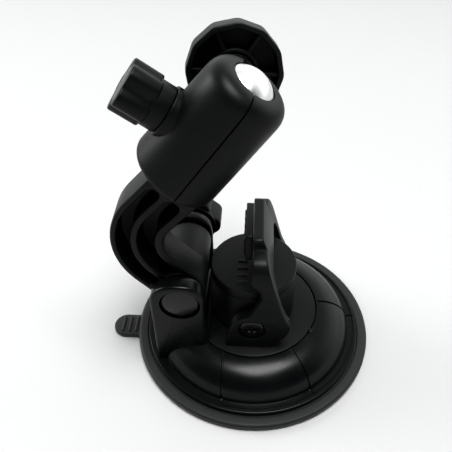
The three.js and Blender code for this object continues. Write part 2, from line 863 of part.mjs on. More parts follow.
// A twelve-sided thumb wheel, open towards the ball and stiffened by ribs.
function lockWheel() {
  const far = wheelNear + wheelThickness;
  const face = far - wheelWeb;
  const turn = Math.PI / wheelSides;
  const blank = plateXZ(polygon(wheelSides, wheelFlat, turn), wheelNear, far);
  const hollow = plateXZ(polygon(wheelSides, wheelFlat - wheelWall, turn), wheelNear - 1, face);
  const hub = turnedY(disc(wheelHub, wheelNear + 0.6, face + 0.2), 36);
  const ribs = [];
  for (let i = 0; i < wheelRibs; i++) {
    const rib = box(wheelHub - 1, wheelFlat - wheelWall + 0.3, wheelNear + 1.1, face + 0.2, -0.4, 0.4);
    ribs.push(rib.rotate([0, 30 + (i * 360) / wheelRibs, 0]));
  }
  const pocket = turnedY(disc(insertRadius + GAP, wheelNear - 1, far - 1), 32);
  const bore = turnedY(disc(screwRadius + 0.4, wheelNear - 1, far + 1), 32);
  return cut(join(blank.subtract(hollow), hub, ...ribs), pocket, bore);
}

const wheelInsert = () =>
  turnedY(ring(screwRadius + GAP, insertRadius, wheelNear + 0.6, wheelNear + wheelThickness - 1.2), 32);
const cameraPad = () => {
  const low = wheelNear + wheelThickness + GAP;
  return turnedY(ring(screwRadius + 0.4, padRingRadius, low, low + padRingThickness), 48);
};

// ---------------------------------------------------------------- assembly
add("suction_pad", suctionPad(), rubber);
add("base_cover", baseCover(), glossPlastic);
add("cam_plate", camPlate(), satinPlastic);
add("plunger_cap", plungerCap(), satinPlastic);
add("plunger_stem", plungerStem(), satinPlastic);
add("lever_pin", leverPin(), steel);
add("pin_clip", pinClip(), steel);
add("cam_lever", leverBail(), satinPlastic);
add("thumb_pad", thumbPad(), satinPlastic);
add("arm_bracket", armBracket(), satinPlastic);
add("pivot_bolt", pivotBolt(), steel);
add("pivot_washer", pivotWasher(), steel);
add("pivot_knob", pivotKnob(), satinPlastic);
add("pivot_nut", pivotNut(), steel);
add("left_jaw", jawLeft(), satinPlastic, head);
add("right_jaw", jawRight(), satinPlastic, head);
add("shell_screw", shellScrew(), steel, head);
add("clamp_nut", nut(3.5, clampScrewRadius + GAP, nutSeat, nutSeat + 2.8), steel, head);
add("clamp_washer", clampWasher(), steel, head);
add("clamp_knob", clampKnob(), satinPlastic, head);
add("clamp_knob_cap", clampKnobCap(), glossPlastic, head);
add("clamp_screw", clampScrew(), steel, head);
add("clamp_ball", clampBall(), chrome, ballGroup);
add("camera_screw", cameraScrew(), steel, ballGroup);
add("lock_wheel", lockWheel(), satinPlastic, ballGroup);
add("wheel_insert", wheelInsert(), steel, ballGroup);
add("camera_pad", cameraPad(), rubber, ballGroup);

export default mount;
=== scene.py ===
# %% [markdown]
# # A suction-cup windscreen mount, piece by piece
# The mount stands on a rubber suction pad. A lever lifts a plunger and so pulls the pad's
# middle up, an arm swings on two ears, and a clamped ball carries the camera screw.

# %% Load the frame
import json
import math

import bmesh
import bpy
import numpy as np
from mathutils import Matrix, Vector


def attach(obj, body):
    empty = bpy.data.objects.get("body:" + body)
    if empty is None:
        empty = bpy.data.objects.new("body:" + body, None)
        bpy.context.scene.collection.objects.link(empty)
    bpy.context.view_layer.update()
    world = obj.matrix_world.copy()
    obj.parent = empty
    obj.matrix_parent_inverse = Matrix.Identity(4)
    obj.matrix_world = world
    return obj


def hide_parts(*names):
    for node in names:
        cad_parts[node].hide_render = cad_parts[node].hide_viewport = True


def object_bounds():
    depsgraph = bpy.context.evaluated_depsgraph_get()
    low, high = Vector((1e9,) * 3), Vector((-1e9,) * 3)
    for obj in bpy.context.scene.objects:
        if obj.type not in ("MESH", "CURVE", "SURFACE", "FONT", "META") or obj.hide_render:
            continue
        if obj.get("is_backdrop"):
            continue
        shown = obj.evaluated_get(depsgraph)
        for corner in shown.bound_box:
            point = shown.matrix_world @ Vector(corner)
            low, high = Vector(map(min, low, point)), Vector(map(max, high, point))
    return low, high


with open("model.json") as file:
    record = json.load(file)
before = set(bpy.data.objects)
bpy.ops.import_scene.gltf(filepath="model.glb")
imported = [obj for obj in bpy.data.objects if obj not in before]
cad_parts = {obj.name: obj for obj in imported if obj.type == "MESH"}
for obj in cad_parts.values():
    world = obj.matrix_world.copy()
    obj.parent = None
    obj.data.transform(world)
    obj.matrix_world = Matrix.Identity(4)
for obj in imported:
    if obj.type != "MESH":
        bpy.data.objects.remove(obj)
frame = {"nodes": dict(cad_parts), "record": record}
cad_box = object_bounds()
MM = 0.001

# %% [markdown]
# ## Places that the pieces share
# These are the same sizes, in millimetres, as in the engineering model. A place is a turned
# frame with an origin: a piece is drawn flat about its own axis and then put there.

# %% Sizes and places
PIVOT = (-19.7, 28.6)  # x and z of the arm's hinge
PIN_Z = 18.9
BEND = (-16.322, 45.771)  # x and z of the middle of the arm's bend
BEND_R = 14.0
UPPER_LEG = 11.1  # straight run from the bend to the head's foot
SWEEP = math.radians(42)  # half of the bend's arc
HEAD_TILT = math.radians(54.5)
HEAD_MIDDLE = -3.0  # y of the head's centre plane
BALL_UP = 26.3  # ball and clamp screw, above the head's foot
CLAMP_UP = 13.6
BARREL_SHIFT = -0.95  # the barrel's foot stands off the seam, towards the knob
BARREL_LEAN = math.radians(2.5)  # and its axis leans back over the seam
SCREW_DROOP = math.radians(12)  # below square to the head


def place(origin, x, z):
    """A 3 by 4 array: columns are where local x, y and z point, then the origin. y is z cross x."""
    x, z = np.array(x, float), np.array(z, float)
    return np.column_stack([x, np.cross(z, x), z, np.array(origin, float)])


head_x = np.array([math.sin(HEAD_TILT), 0, -math.cos(HEAD_TILT)])
head_z = np.array([math.cos(HEAD_TILT), 0, math.sin(HEAD_TILT)])
leg = np.array([math.sin(SWEEP), math.cos(SWEEP)])
side = np.array([-math.cos(SWEEP), math.sin(SWEEP)])
foot = np.array(BEND) + leg * UPPER_LEG + side * BEND_R
head_foot = np.array([foot[0], HEAD_MIDDLE, foot[1]])
ball_centre = head_foot + head_z * BALL_UP
clamp_point = head_foot + head_z * CLAMP_UP
screw_way = np.array([0, math.cos(SCREW_DROOP), 0]) - head_z * math.sin(SCREW_DROOP)

UPRIGHT = place((0, 0, 0), (1, 0, 0), (0, 0, 1))
AT_PIVOT = place((PIVOT[0], 0, PIVOT[1]), (1, 0, 0), (0, 1, 0))
AT_PIN = place((0, 0, PIN_Z), (1, 0, 0), (0, 1, 0))
AT_HEAD = place(head_foot, head_x, head_z)
barrel_z = math.cos(BARREL_LEAN) * head_z + math.sin(BARREL_LEAN) * head_x
barrel_x = math.cos(BARREL_LEAN) * head_x - math.sin(BARREL_LEAN) * head_z
AT_BARREL = place(head_foot + head_x * BARREL_SHIFT, barrel_x, barrel_z)
AT_CLAMP = place(clamp_point, (0, 1, 0), -head_x)
AT_SCREW = place(ball_centre, head_x, screw_way)
print("ball centre:", np.round(ball_centre, 3), "screw points:", np.round(screw_way, 3))

# %% [markdown]
# ## From arrays to a mesh
# Each surface below is a grid of points. One helper puts a grid into a mesh, welds what meets
# at a pole and turns the faces outwards. A second one joins several closed parts of one piece.

# %% Put grids into meshes


def grid_faces(rows, columns, wrap_rows=False, wrap_columns=True):
    """Four corners for each cell of a grid: point, next column, both, next row."""
    i = np.arange(rows if wrap_rows else rows - 1)
    j = np.arange(columns if wrap_columns else columns - 1)
    i, j = np.meshgrid(i, j, indexing="ij")
    up, on = (i + 1) % rows, (j + 1) % columns
    corners = [i * columns + j, i * columns + on, up * columns + on, up * columns + j]
    return np.stack(corners, axis=-1).reshape(-1, 4)


def placed(points, where):
    """Points turned by the place's three directions and moved to its origin, in metres."""
    return (points @ where[:, :3].T + where[:, 3]) * MM


def part_of(points, where=UPRIGHT, wrap_rows=False, caps=True):
    """A closed part from an array of rows, columns and x, y, z. Open ends get one flat face."""
    rows, columns = points.shape[:2]
    faces = grid_faces(rows, columns, wrap_rows).tolist()
    if caps and not wrap_rows:
        faces.append(list(range(columns)))
        faces.append(list(range((rows - 1) * columns, rows * columns)))
    return placed(points.reshape(-1, 3), where), faces


def piece(name, parts, sharp=35):
    """One object made of closed parts, welded, faced outwards and smooth below the sharp angle."""
    vertices, faces, shift = [], [], 0
    for points, cells in parts:
        vertices.append(points)
        faces += [[index + shift for index in cell] for cell in cells]
        shift += len(points)
    mesh = bpy.data.meshes.new(name)
    mesh.from_pydata(np.concatenate(vertices).tolist(), [], faces)
    tidy = bmesh.new()
    tidy.from_mesh(mesh)
    bmesh.ops.remove_doubles(tidy, verts=tidy.verts, dist=2e-7)
    bmesh.ops.dissolve_degenerate(tidy, edges=tidy.edges, dist=1e-8)
    bmesh.ops.recalc_face_normals(tidy, faces=tidy.faces)
    tidy.to_mesh(mesh)
    tidy.free()
    mesh.shade_smooth()
    mesh.set_sharp_from_angle(angle=math.radians(sharp))
    made = bpy.data.objects.new(name, mesh)
    bpy.context.scene.collection.objects.link(made)
    return made


# %% [markdown]
# ## Outlines
# A moulded part has no truly sharp corner, so an outline starts as a few straight runs and
# every corner is then rounded. The same helper rounds the profile of a turned piece.

# %% Round the corners of a line


def soften(points, radius, steps=4, closed=False):
    """Each corner becomes an arc-like curve that starts and ends one trim length away from it.
    The curve is the quadratic blend of start, corner and end, which touches both runs."""
    points = np.array(points, float)
    before, after = np.roll(points, 1, axis=0), np.roll(points, -1, axis=0)
    back, on = before - points, after - points
    back_long = np.linalg.norm(back, axis=1, keepdims=True)
    on_long = np.linalg.norm(on, axis=1, keepdims=True)
    radius = np.broadcast_to(np.array(radius, float), (len(points),))[:, None]
    trim = np.minimum(radius, 0.45 * np.minimum(back_long, on_long))
    start = points + back / np.maximum(back_long, 1e-9) * trim
    end = points + on / np.maximum(on_long, 1e-9) * trim
    t = np.linspace(0, 1, steps + 1)[None, :, None]
    curve = start[:, None] * (1 - t) ** 2 + points[:, None] * 2 * t * (1 - t) + end[:, None] * t**2
    if closed:
        return curve.reshape(-1, 2)
    inner = curve[1:-1].reshape(-1, 2)
    return np.vstack([points[:1], inner, points[-1:]])


def circle(radius=1.0, count=96):
    """Points at even angles: radius times cosine and sine."""
    a = np.linspace(0, 2 * math.pi, count, endpoint=False)
    return np.column_stack([np.cos(a), np.sin(a)]) * radius


def refine(line, gap, closed=True):
    """The same line with points at most one gap apart, spaced evenly along each straight run."""
    ends = np.vstack([line, line[:1]]) if closed else line
    run = np.linalg.norm(np.diff(ends, axis=0), axis=1)
    count = np.maximum(1, np.ceil(run / gap)).astype(int)
    step = np.repeat(np.arange(len(count)), count)
    first = np.cumsum(count) - count
    part = (np.arange(count.sum()) - first[step]) / count[step]
    dense = ends[step] + (ends[step + 1] - ends[step]) * part[:, None]
    return dense if closed else np.vstack([dense, ends[-1:]])


def outward(outline):
    """Unit normals of a closed outline that runs anticlockwise: each chord turned a right angle."""
    chord = np.roll(outline, -1, axis=0) - np.roll(outline, 1, axis=0)
    normal = np.column_stack([chord[:, 1], -chord[:, 0]])
    return normal / np.maximum(np.linalg.norm(normal, axis=1, keepdims=True), 1e-9)


# %% [markdown]
# ## Lofted and turned parts
# A lathe turns a profile round a circle. A knob or a plate is the same idea with another
# outline, so one function does both: every rung is the outline scaled, moved in along its
# normals and lifted to a height. Rounded edges come from rungs that step in by an arc.

# %% Loft an outline, turn a profile


def loft(outline, rungs, where=UPRIGHT, wrap=False):
    """Point = scale times outline minus inset times normal, at the rung's height."""
    rungs = np.array(rungs, float)
    flat = rungs[:, None, :1] * outline[None] - rungs[:, None, 1:2] * outward(outline)[None]
    height = np.broadcast_to(rungs[:, None, 2:], (len(rungs), len(outline), 1))
    return part_of(np.concatenate([flat, height], axis=2), where, wrap_rows=wrap)


def turn(profile, where=UPRIGHT, count=96, wrap=False):
    """Point = radius times (cosine, sine) at the profile's height."""
    profile = np.array(profile, float)
    flat = profile[:, None, :1] * circle(1, count)[None]
    height = np.broadcast_to(profile[:, None, 1:], (len(profile), count, 1))
    return part_of(np.concatenate([flat, height], axis=2), where, wrap_rows=wrap, caps=False)


def plate(outline, low, high, edge, where=UPRIGHT, steps=3):
    """A closed plate whose two rims are rounded by a quarter circle of radius edge."""
    a = np.linspace(0, math.pi / 2, steps + 1)
    inset, drop = edge * (1 - np.sin(a)), edge * (1 - np.cos(a))
    lower = np.column_stack([np.ones_like(a), inset, low + drop])
    upper = np.column_stack([np.ones_like(a), inset, high - drop])[::-1]
    return loft(outline, np.vstack([lower, upper]), where)


def brick(x0, x1, y0, y1, low, high, edge, where=UPRIGHT, corner=None):
    """A block with rounded corners and rims."""
    corners = [(x0, y0), (x1, y0), (x1, y1), (x0, y1)]
    return plate(soften(corners, corner or 1.3 * edge, 4, closed=True), low, high, edge, where)


# %% [markdown]
# ## Cutting and easing
# Some shapes are easiest to make as the whole less something: a socket, a slot, a cross for
# the driver. The cut is applied at once, and a small bevel then eases the edges it leaves.

# %% Cut one piece with another


def carve(target, *cutters):
    """Takes each cutter away from the target and keeps the result as the target's own mesh."""
    for cutter in cutters:
        knife = target.modifiers.new("carve", "BOOLEAN")
        knife.operation = "DIFFERENCE"
        knife.solver = "EXACT"
        knife.object = cutter
    bpy.context.view_layer.update()
    graph = bpy.context.evaluated_depsgraph_get()
    mesh = bpy.data.meshes.new_from_object(target.evaluated_get(graph))
    target.modifiers.clear()
    target.data = mesh
    for cutter in cutters:
        bpy.data.objects.remove(cutter)
    mesh.set_sharp_from_angle(angle=math.radians(35))
    return target


def ease(target, width, segments=2, angle=35):
    """A small bevel along every edge sharper than the angle, so that edges catch the light."""
    bevel = target.modifiers.new("ease", "BEVEL")
    bevel.width = width * MM
    bevel.segments = segments
    bevel.limit_method = "ANGLE"
    bevel.angle_limit = math.radians(angle)
    bevel.use_clamp_overlap = True
    return target


# %% [markdown]
# ## Materials
# Colours are written as sRGB hex values, as a colour chart gives them, and one function turns
# them into the linear values that the shader wants. One helper adds any node.

# %% Colour and node helpers


def linear(code):
    """sRGB to linear: divide by 12.92 below 0.04045, otherwise the 2.4 power curve."""
    parts = np.array([int(code[i : i + 2], 16) for i in (1, 3, 5)]) / 255
    low, high = parts / 12.92, ((parts + 0.055) / 1.055) ** 2.4
    return (*np.where(parts <= 0.04045, low, high).tolist(), 1.0)


def add(tree, kind, settings=(), inputs=(), **links):
    """One node: its settings, its socket values, and links given as input name to output."""
    node = tree.nodes.new(kind)
    for key, value in dict(settings).items():
        setattr(node, key, value)
    for key, value in dict(inputs).items():
        node.inputs[key].default_value = value
    for key, source in links.items():
        tree.links.new(source, node.inputs[key.replace("_", " ")])
    return node


def fresh(name, sockets):
    """A new material, its node tree and its shader, with the shader's constants set."""
    material = bpy.data.materials.new(name)
    material.use_nodes = True
    shader = material.node_tree.nodes["Principled BSDF"]
    for key, value in sockets.items():
        shader.inputs[key].default_value = value
    material.diffuse_color = sockets.get("Base Color", (0.02, 0.02, 0.02, 1))
    return material, material.node_tree, shader


def per_mm(size):
    """Texture scale for a feature of that many millimetres, in object space, which is metres."""
    return 1 / (size * MM)


def ramp(tree, factor, stops):
    """A colour ramp through (place, hex colour) stops."""
    node = add(tree, "ShaderNodeValToRGB", Fac=factor)
    while len(node.color_ramp.elements) < len(stops):
        node.color_ramp.elements.new(0.5)
    for element, (spot, code) in zip(node.color_ramp.elements, stops):
        element.position = spot
        element.color = linear(code)
    return node.outputs["Color"]


def spread(tree, factor, low, high):
    """A 0 to 1 pattern mapped to the range low to high."""
    node = add(tree, "ShaderNodeMapRange", inputs={"To Min": low, "To Max": high}, Value=factor)
    return node.outputs["Result"]


# %% [markdown]
# ### Moulded black ABS
# The arm, knobs, jaws and lever are injection-moulded ABS with carbon black, IOR 1.54. The
# mould is spark eroded, which leaves a fine pebble of about 0.1 mm and makes the plastic
# semi-matt: dark from above, pale where light grazes it. The pebble is drawn at 0.28 mm so that
# it can show. Wide, faint patches are where hands have polished the pebble down.

# %% Satin and gloss ABS


def moulded_abs(name, dark, pale, roughness, pebble, depth, shine):
    """Black ABS: patchy roughness, pebble bump, and pale dust caught in the pebble."""
    material, tree, shader = fresh(name, {"IOR": 1.54, "Specular IOR Level": shine})
    spot = add(tree, "ShaderNodeTexCoord").outputs["Object"]
    grain = add(
        tree, "ShaderNodeTexNoise", inputs={"Scale": per_mm(pebble), "Detail": 3.0}, Vector=spot
    ).outputs["Fac"]
    patches = add(
        tree, "ShaderNodeTexNoise", inputs={"Scale": per_mm(9), "Detail": 4.0}, Vector=spot
    ).outputs["Fac"]
    specks = add(
        tree, "ShaderNodeTexVoronoi", inputs={"Scale": per_mm(2.6), "Randomness": 1.0}, Vector=spot
    ).outputs["Distance"]
    dust = add(
        tree,
        "ShaderNodeMapRange",
        inputs={"From Min": 0.0, "From Max": 0.045, "To Min": 1.0, "To Max": 0.0},
        Value=specks,
    ).outputs["Result"]
    base = ramp(tree, patches, [(0.3, dark), (0.75, pale)])
    # on a colour Mix, input 0 is the factor, and 6 and 7 are the two colours
    dusty = add(tree, "ShaderNodeMix", {"data_type": "RGBA"})
    dusty.inputs[7].default_value = linear("#4a4d4c")
    tree.links.new(base, dusty.inputs[6])
    share = add(tree, "ShaderNodeMath", {"operation": "MULTIPLY"}, {1: 0.35})
    tree.links.new(dust, share.inputs[0])
    tree.links.new(share.outputs[0], dusty.inputs[0])
    tree.links.new(dusty.outputs[2], shader.inputs["Base Color"])
    rough = spread(tree, patches, roughness - 0.05, roughness + 0.07)
    tree.links.new(rough, shader.inputs["Roughness"])
    bump = add(
        tree, "ShaderNodeBump", inputs={"Strength": 0.5, "Distance": depth * MM}, Height=grain
    )
    tree.links.new(bump.outputs["Normal"], shader.inputs["Normal"])
    return material


satin_abs = moulded_abs("spark-eroded black ABS", "#060808", "#0c0e0f", 0.4, 0.28, 0.02, 0.2)
gloss_abs = moulded_abs("polished black ABS", "#060808", "#0b0d0e", 0.27, 0.6, 0.01, 0.24)

# %% [markdown]
# ### Soft PVC rubber
# The suction pad and the camera's ring are soft PVC loaded with carbon black. It is duller
# than ABS, holds a bloom of pale dust, and its moulding marks run in soft waves.

# %% Soft rubber
soft_rubber, tree, shader = fresh(
    "soft black PVC", {"IOR": 1.5, "Sheen Weight": 0.12, "Sheen Roughness": 0.5}
)
spot = add(tree, "ShaderNodeTexCoord").outputs["Object"]
bloom = add(
    tree, "ShaderNodeTexNoise", inputs={"Scale": per_mm(6), "Detail": 6.0}, Vector=spot
).outputs["Fac"]
fine = add(
    tree, "ShaderNodeTexNoise", inputs={"Scale": per_mm(0.4), "Detail": 2.0}, Vector=spot
).outputs["Fac"]
tree.links.new(
    ramp(tree, bloom, [(0.25, "#0a0c0d"), (0.6, "#101314"), (0.85, "#181b1b")]),
    shader.inputs["Base Color"],
)
tree.links.new(spread(tree, bloom, 0.5, 0.68), shader.inputs["Roughness"])
bump = add(tree, "ShaderNodeBump", inputs={"Strength": 0.4, "Distance": 0.03 * MM}, Height=fine)
tree.links.new(bump.outputs["Normal"], shader.inputs["Normal"])

# %% [markdown]
# ### Metals
# The ball is satin chrome plate, which blurs what it reflects, with faint wiping marks. The
# fasteners are steel turned on a lathe. Where one is coated black, the eye meets the film and
# not the metal, so that finish isn't metallic. The others are zinc plated.

# %% Chrome and steel


def turned_metal(name, tint, worn, roughness, scratch, metallic=1.0):
    """Metal whose roughness and tint follow stretched noise, like wiping or turning marks."""
    material, tree, shader = fresh(name, {"Metallic": metallic})
    spot = add(tree, "ShaderNodeTexCoord").outputs["Object"]
    stretched = add(
        tree, "ShaderNodeMapping", inputs={"Scale": (1.0, 0.12, 1.0)}, Vector=spot
    ).outputs["Vector"]
    fineness = {"Scale": per_mm(scratch), "Detail": 5.0}
    lines = add(tree, "ShaderNodeTexNoise", inputs=fineness, Vector=stretched).outputs["Fac"]
    tree.links.new(ramp(tree, lines, [(0.3, tint), (0.8, worn)]), shader.inputs["Base Color"])
    tree.links.new(spread(tree, lines, roughness * 0.7, roughness * 1.4), shader.inputs["Roughness"])
    bump = add(tree, "ShaderNodeBump", inputs={"Strength": 0.15, "Distance": 0.01 * MM}, Height=lines)
    tree.links.new(bump.outputs["Normal"], shader.inputs["Normal"])
    return material


chrome = turned_metal("chrome plate", "#f4f4f2", "#e6e7e5", 0.34, 0.8)
black_steel = turned_metal("black-coated steel", "#070808", "#0d0e0f", 0.2, 1.2, 0.0)
zinc_steel = turned_metal("zinc-plated steel", "#a9abad", "#8f9294", 0.3, 0.5)
FINISH = {
    "satin_abs": satin_abs,
    "gloss_abs": gloss_abs,
    "soft_rubber": soft_rubber,
    "chrome": chrome,
    "black_steel": black_steel,
    "zinc_steel": zinc_steel,
}


def finish(made, slot, body, *nodes):
    """Gives the piece its material, lets it ride its body, and hides the solids it stands for."""
    made.data.materials.clear()
    made.data.materials.append(FINISH[slot])
    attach(made, body)
    if nodes:
        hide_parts(*nodes)
    print(f"{made.name}: {len(made.data.polygons)} faces")
    return made


# %% [markdown]
# ## Suction pad
# The pad is a thin rubber disc with a raised lip round the cover, and a pull tab with grip ribs.
# It is a turned profile; the tab is a plate with a round end.

# %% Suction pad and tab
PAD_R = 36.0
TAB_Y = -2.3  # the tab's middle line
TAB_END = -40.0  # x of the centre of its round end
TAB_R = 4.0
TAB_ROOT = 4.6  # half its width where it meets the disc
GRIP_RIB = 0.8
underside = [(0, 0), (34.6, 0), (PAD_R, 0.7), (PAD_R, 1.9)]
upper_lip = [(35.4, 2.4), (33.2, 2.4), (32.9, 2.1), (32.9, 2)]
middle_boss = [(10.4, 2), (9.9, 4.5), (8.3, 4.5), (8.3, 3), (0, 3)]
lip_ring = turn(soften(underside + upper_lip + middle_boss, 0.35, 4), count=180)
a = np.linspace(math.pi / 2, 3 * math.pi / 2, 25)
tab_round = np.column_stack([TAB_END + TAB_R * np.cos(a), TAB_Y + TAB_R * np.sin(a)])
near_side = [(-36.5, TAB_Y - TAB_R), (-34.2, TAB_Y - TAB_ROOT)]
far_side = [(-34.2, TAB_Y + TAB_ROOT), (-36.5, TAB_Y + TAB_R)]
tab = plate(np.vstack([tab_round, near_side, far_side]), 0.05, 1.8, 0.45)
ribs = [
    brick(x, x + GRIP_RIB, TAB_Y - 3.0, TAB_Y + 3.0, 1.2, 2.3, 0.3)
    for x in (-41.3, -39.2, -37.1)
]
pad = piece("rubber_pad", [lip_ring, tab, *ribs])
finish(pad, "soft_rubber", "base", "suction_pad")

# %% [markdown]
# ## Base cover
# The cover is one glossy moulding: a flat flange, a dome like a ring of tyre, and a flat
# platform. Narrow grooves run out over the dome. A groove is only a third of a millimetre deep,
# but its edges draw bright lines, so it is real geometry here: the grid's columns are laid along
# the groove's walls and its floor is set back. One groove is straight and not radial, so every
# column's angle is worked out for each radius.

# %% Base cover
DOME_IN, DOME_OUT, DOME_TOP, FLANGE_TOP = 19.9, 29.8, 11.4, 3.7
GROOVE, GROOVE_DEEP = 0.7, 0.45
STRAIGHT_X = 8.0  # the straight groove's place
RADIAL_GROOVES = (-55.0, 5.5, 65.5, 125.5)  # degrees
RING_OUT, RING_IN, RING_DEEP = 31.65, 31.25, 0.3  # the flange's own groove
RING_START, RING_SWEEP = math.radians(-104.4), math.radians(172)
UNDER_R, UNDER_Z = 27.5, 2.3  # inner edge of the cover's foot
PLAIN_COLUMNS = 30  # between two grooves


def dome_line(count):
    """An ellipse's quarter from its foot to the platform, with the lowest 0.2 rad left off."""
    a = np.linspace(0.2, math.pi / 2, count)
    wide = (DOME_OUT - DOME_IN) / math.cos(0.2)
    rise = (DOME_TOP - FLANGE_TOP) / (1 - math.sin(0.2))
    return np.column_stack([DOME_IN + wide * np.cos(a), DOME_TOP - rise + rise * np.sin(a)])


RING_ROWS = [31.95, 31.7, 31.62, 31.3, 31.22, 30.9, 30.4, 29.9]
top_line = np.vstack(
    [
        soften([(32.6, 2.3), (32.6, 3.7), (32.0, 3.7)], 0.35, 4)[:-1],
        np.column_stack([RING_ROWS, np.full(len(RING_ROWS), FLANGE_TOP)]),
        dome_line(40),
        soften([(19.9, 11.4), (19.6, 11.4), (19.6, 9.9), (17, 9.9)], 0.15, 3)[1:],
    ]
)


def groove_columns(offsets):
    """Key lines as functions of radius. A radial groove's wall stays a fixed distance from the
    groove's middle, so its angle is that distance over the radius. The straight one keeps its x."""
    radius = top_line[:, :1]
    aside = np.array(offsets)[None]
    lines = [np.radians(angle) + aside / radius for angle in RADIAL_GROOVES]
    straight = -math.pi / 2 - np.arcsin(np.clip((STRAIGHT_X - aside) / radius, -1, 1))
    return np.hstack([straight, *lines])


edge = GROOVE / 2
before = [-edge - 0.25, -edge - 0.08, -edge, -edge + 0.12]
offsets = before + [-x for x in before[::-1]]
keys = groove_columns(offsets)
keys = np.hstack([keys, keys[:, :1] + 2 * math.pi])
share = np.array([0, 0, 0, 1, 1, 0, 0, 0] * (1 + len(RADIAL_GROOVES)) + [0], float)
angles, sunk = [], []
for k in range(keys.shape[1] - 1):
    last_line = k % len(offsets) == len(offsets) - 1
    count = PLAIN_COLUMNS if last_line else 1
    t = np.arange(count) / count
    angles.append(keys[:, k : k + 1] * (1 - t) + keys[:, k + 1 : k + 2] * t)
    sunk.append(share[k] * (1 - t) + share[k + 1] * t)
angles, sunk = np.hstack(angles), np.concatenate(sunk)
radius, height = top_line[:, 0], top_line[:, 1]
slope = np.gradient(top_line, axis=0)
slope /= np.maximum(np.linalg.norm(slope, axis=1, keepdims=True), 1e-9)
normal = np.column_stack([slope[:, 1], -slope[:, 0]])
on_dome = np.clip((31.9 - radius) / 0.1, 0, 1) * np.clip((radius - DOME_IN - 0.1) / 0.5, 0, 1)
around = angles - RING_START  # the rim's groove starts at the straight groove
on_ring = ((radius < RING_OUT) & (radius > RING_IN))[:, None]
on_ring = on_ring & (around > 0) & (around < RING_SWEEP)
deep = np.maximum(GROOVE_DEEP * on_dome[:, None] * sunk[None], RING_DEEP * on_ring)
r = radius[:, None] - normal[:, :1] * deep
z = height[:, None] - normal[:, 1:] * deep
shell = np.stack([r * np.cos(angles), r * np.sin(angles), z], axis=2)
guide = [(8.2, 9.9), (8.2, 15.5), (5.0, 15.5), (5.0, 8.2), (18, 8.2)]  # round the plunger's stem
inner = np.array(guide + [(UNDER_R, 3.2), (UNDER_R, UNDER_Z)], float)
# the last ring takes the angles of the foot's ring, which it meets
inner_angles = np.vstack([np.tile(angles[-1], (len(inner) - 1, 1)), angles[:1]])
inner_z = np.broadcast_to(inner[:, 1:], inner_angles.shape)
inner_r = inner[:, :1]
under = np.stack([inner_r * np.cos(inner_angles), inner_r * np.sin(inner_angles), inner_z], axis=2)
cover_part = part_of(np.concatenate([shell, under]), wrap_rows=True)

# %% [markdown]
# The two ears that hold the arm grow out of the cover. Each is a plate with an arched top, and
# the front one has a round pocket for the bolt's head. Rungs that step in from the outline
# cannot make a round pocket in a long plate, so the face runs from the outline to a circle,
# and every point keeps its own direction from the pivot on the way in.

# %% Ears and saddle


def arch(left, right, rise, foot):
    """The top is a squarish half ellipse: each side's reach times |cosine| to the power 0.85, and
    the rise times sine to the same power. Straight sides run down to the foot. y points down."""
    a = np.linspace(math.pi, 0, 49)
    reach = np.where(np.cos(a) > 0, right, left) * np.sign(np.cos(a))
    top = np.column_stack([reach * np.abs(np.cos(a)) ** 0.85, -rise * np.sin(a) ** 0.85])
    return refine(np.vstack([[(right, foot), (-left, foot)], top]), 0.8)


def inward(outline, rows, where):
    """Rows of (blend, radius, inset, height): blend 1 is the outline moved in by the inset, and
    blend 0 a circle of that radius whose points keep the outline's own directions."""
    rows = np.array(rows, float)
    ring = outline / np.linalg.norm(outline, axis=1, keepdims=True)
    flat = rows[:, None, :1] * (outline - rows[:, None, 2:3] * outward(outline))
    flat = flat + (1 - rows[:, None, :1]) * rows[:, None, 1:2] * ring
    height = np.broadcast_to(rows[:, None, 3:], (len(rows), len(outline), 1))
    return part_of(np.concatenate([flat, height], axis=2), where, wrap_rows=True)


def rim(radius, steps=5):
    """(inset, drop) pairs of a quarter circle."""
    a = np.linspace(0, math.pi / 2, steps)
    return np.column_stack([radius * (1 - np.sin(a)), radius * (1 - np.cos(a))])


def ear_rows(front, back, pocket_r, pocket_deep, bore, edge=0.8):
    """From the bore out over the front face, round the outline and back along the rear face."""
    rows = [(0, bore, 0, front + pocket_deep)]
    if pocket_deep:
        lip = rim(0.15, 4)
        rows += [(0, pocket_r, 0, front + pocket_deep)]
        rows += [(0, pocket_r + 0.15 - i, 0, front + d) for i, d in lip[::-1]]
        rows += [(0, pocket_r + 0.17, 0, front)]
    rows += [(1, 0, edge + 0.03, front)]
    rows += [(1, 0, i, front + d) for i, d in rim(edge)]
    rows += [(1, 0, i, back - d) for i, d in rim(edge)[::-1]]
    rows += [(1, 0, edge + 0.05, back), (0, bore, 0, back)]
    return rows


EAR_FOOT = PIVOT[1] - 2.7  # from the pivot down to the pad's rim
EAR_BORE = 2.8
front_rows = ear_rows(-16, -11.4, 5.6, 3.0, EAR_BORE, 0.9)
front_ear = inward(arch(8.2, 6.8, 7.1, EAR_FOOT), front_rows, AT_PIVOT)
rear_ear = inward(arch(7.6, 6.8, 7.6, EAR_FOOT), ear_rows(11.6, 14.6, 0, 0, EAR_BORE), AT_PIVOT)
saddle = brick(-26.3, -13.5, -12, 12.4, 3.0, 15.0, 1.0)
nub_line = soften([(0, 11.0), (0.8, 11.0), (0.7, 11.9), (0, 11.9)], [0, 0, 0.3, 0], 4)
nub = turn(nub_line, place((17.3, -9.6, 0), (1, 0, 0), (0, 0, 1)), 24)
cover = piece("cover_moulding", [cover_part, front_ear, rear_ear, saddle, nub])
finish(cover, "gloss_abs", "base", "base_cover")

# %% [markdown]
# ## Cam plate
# The lever's cams press on a flat plate let into the cover. It is a ring with one side cut off
# straight where the ears stand.

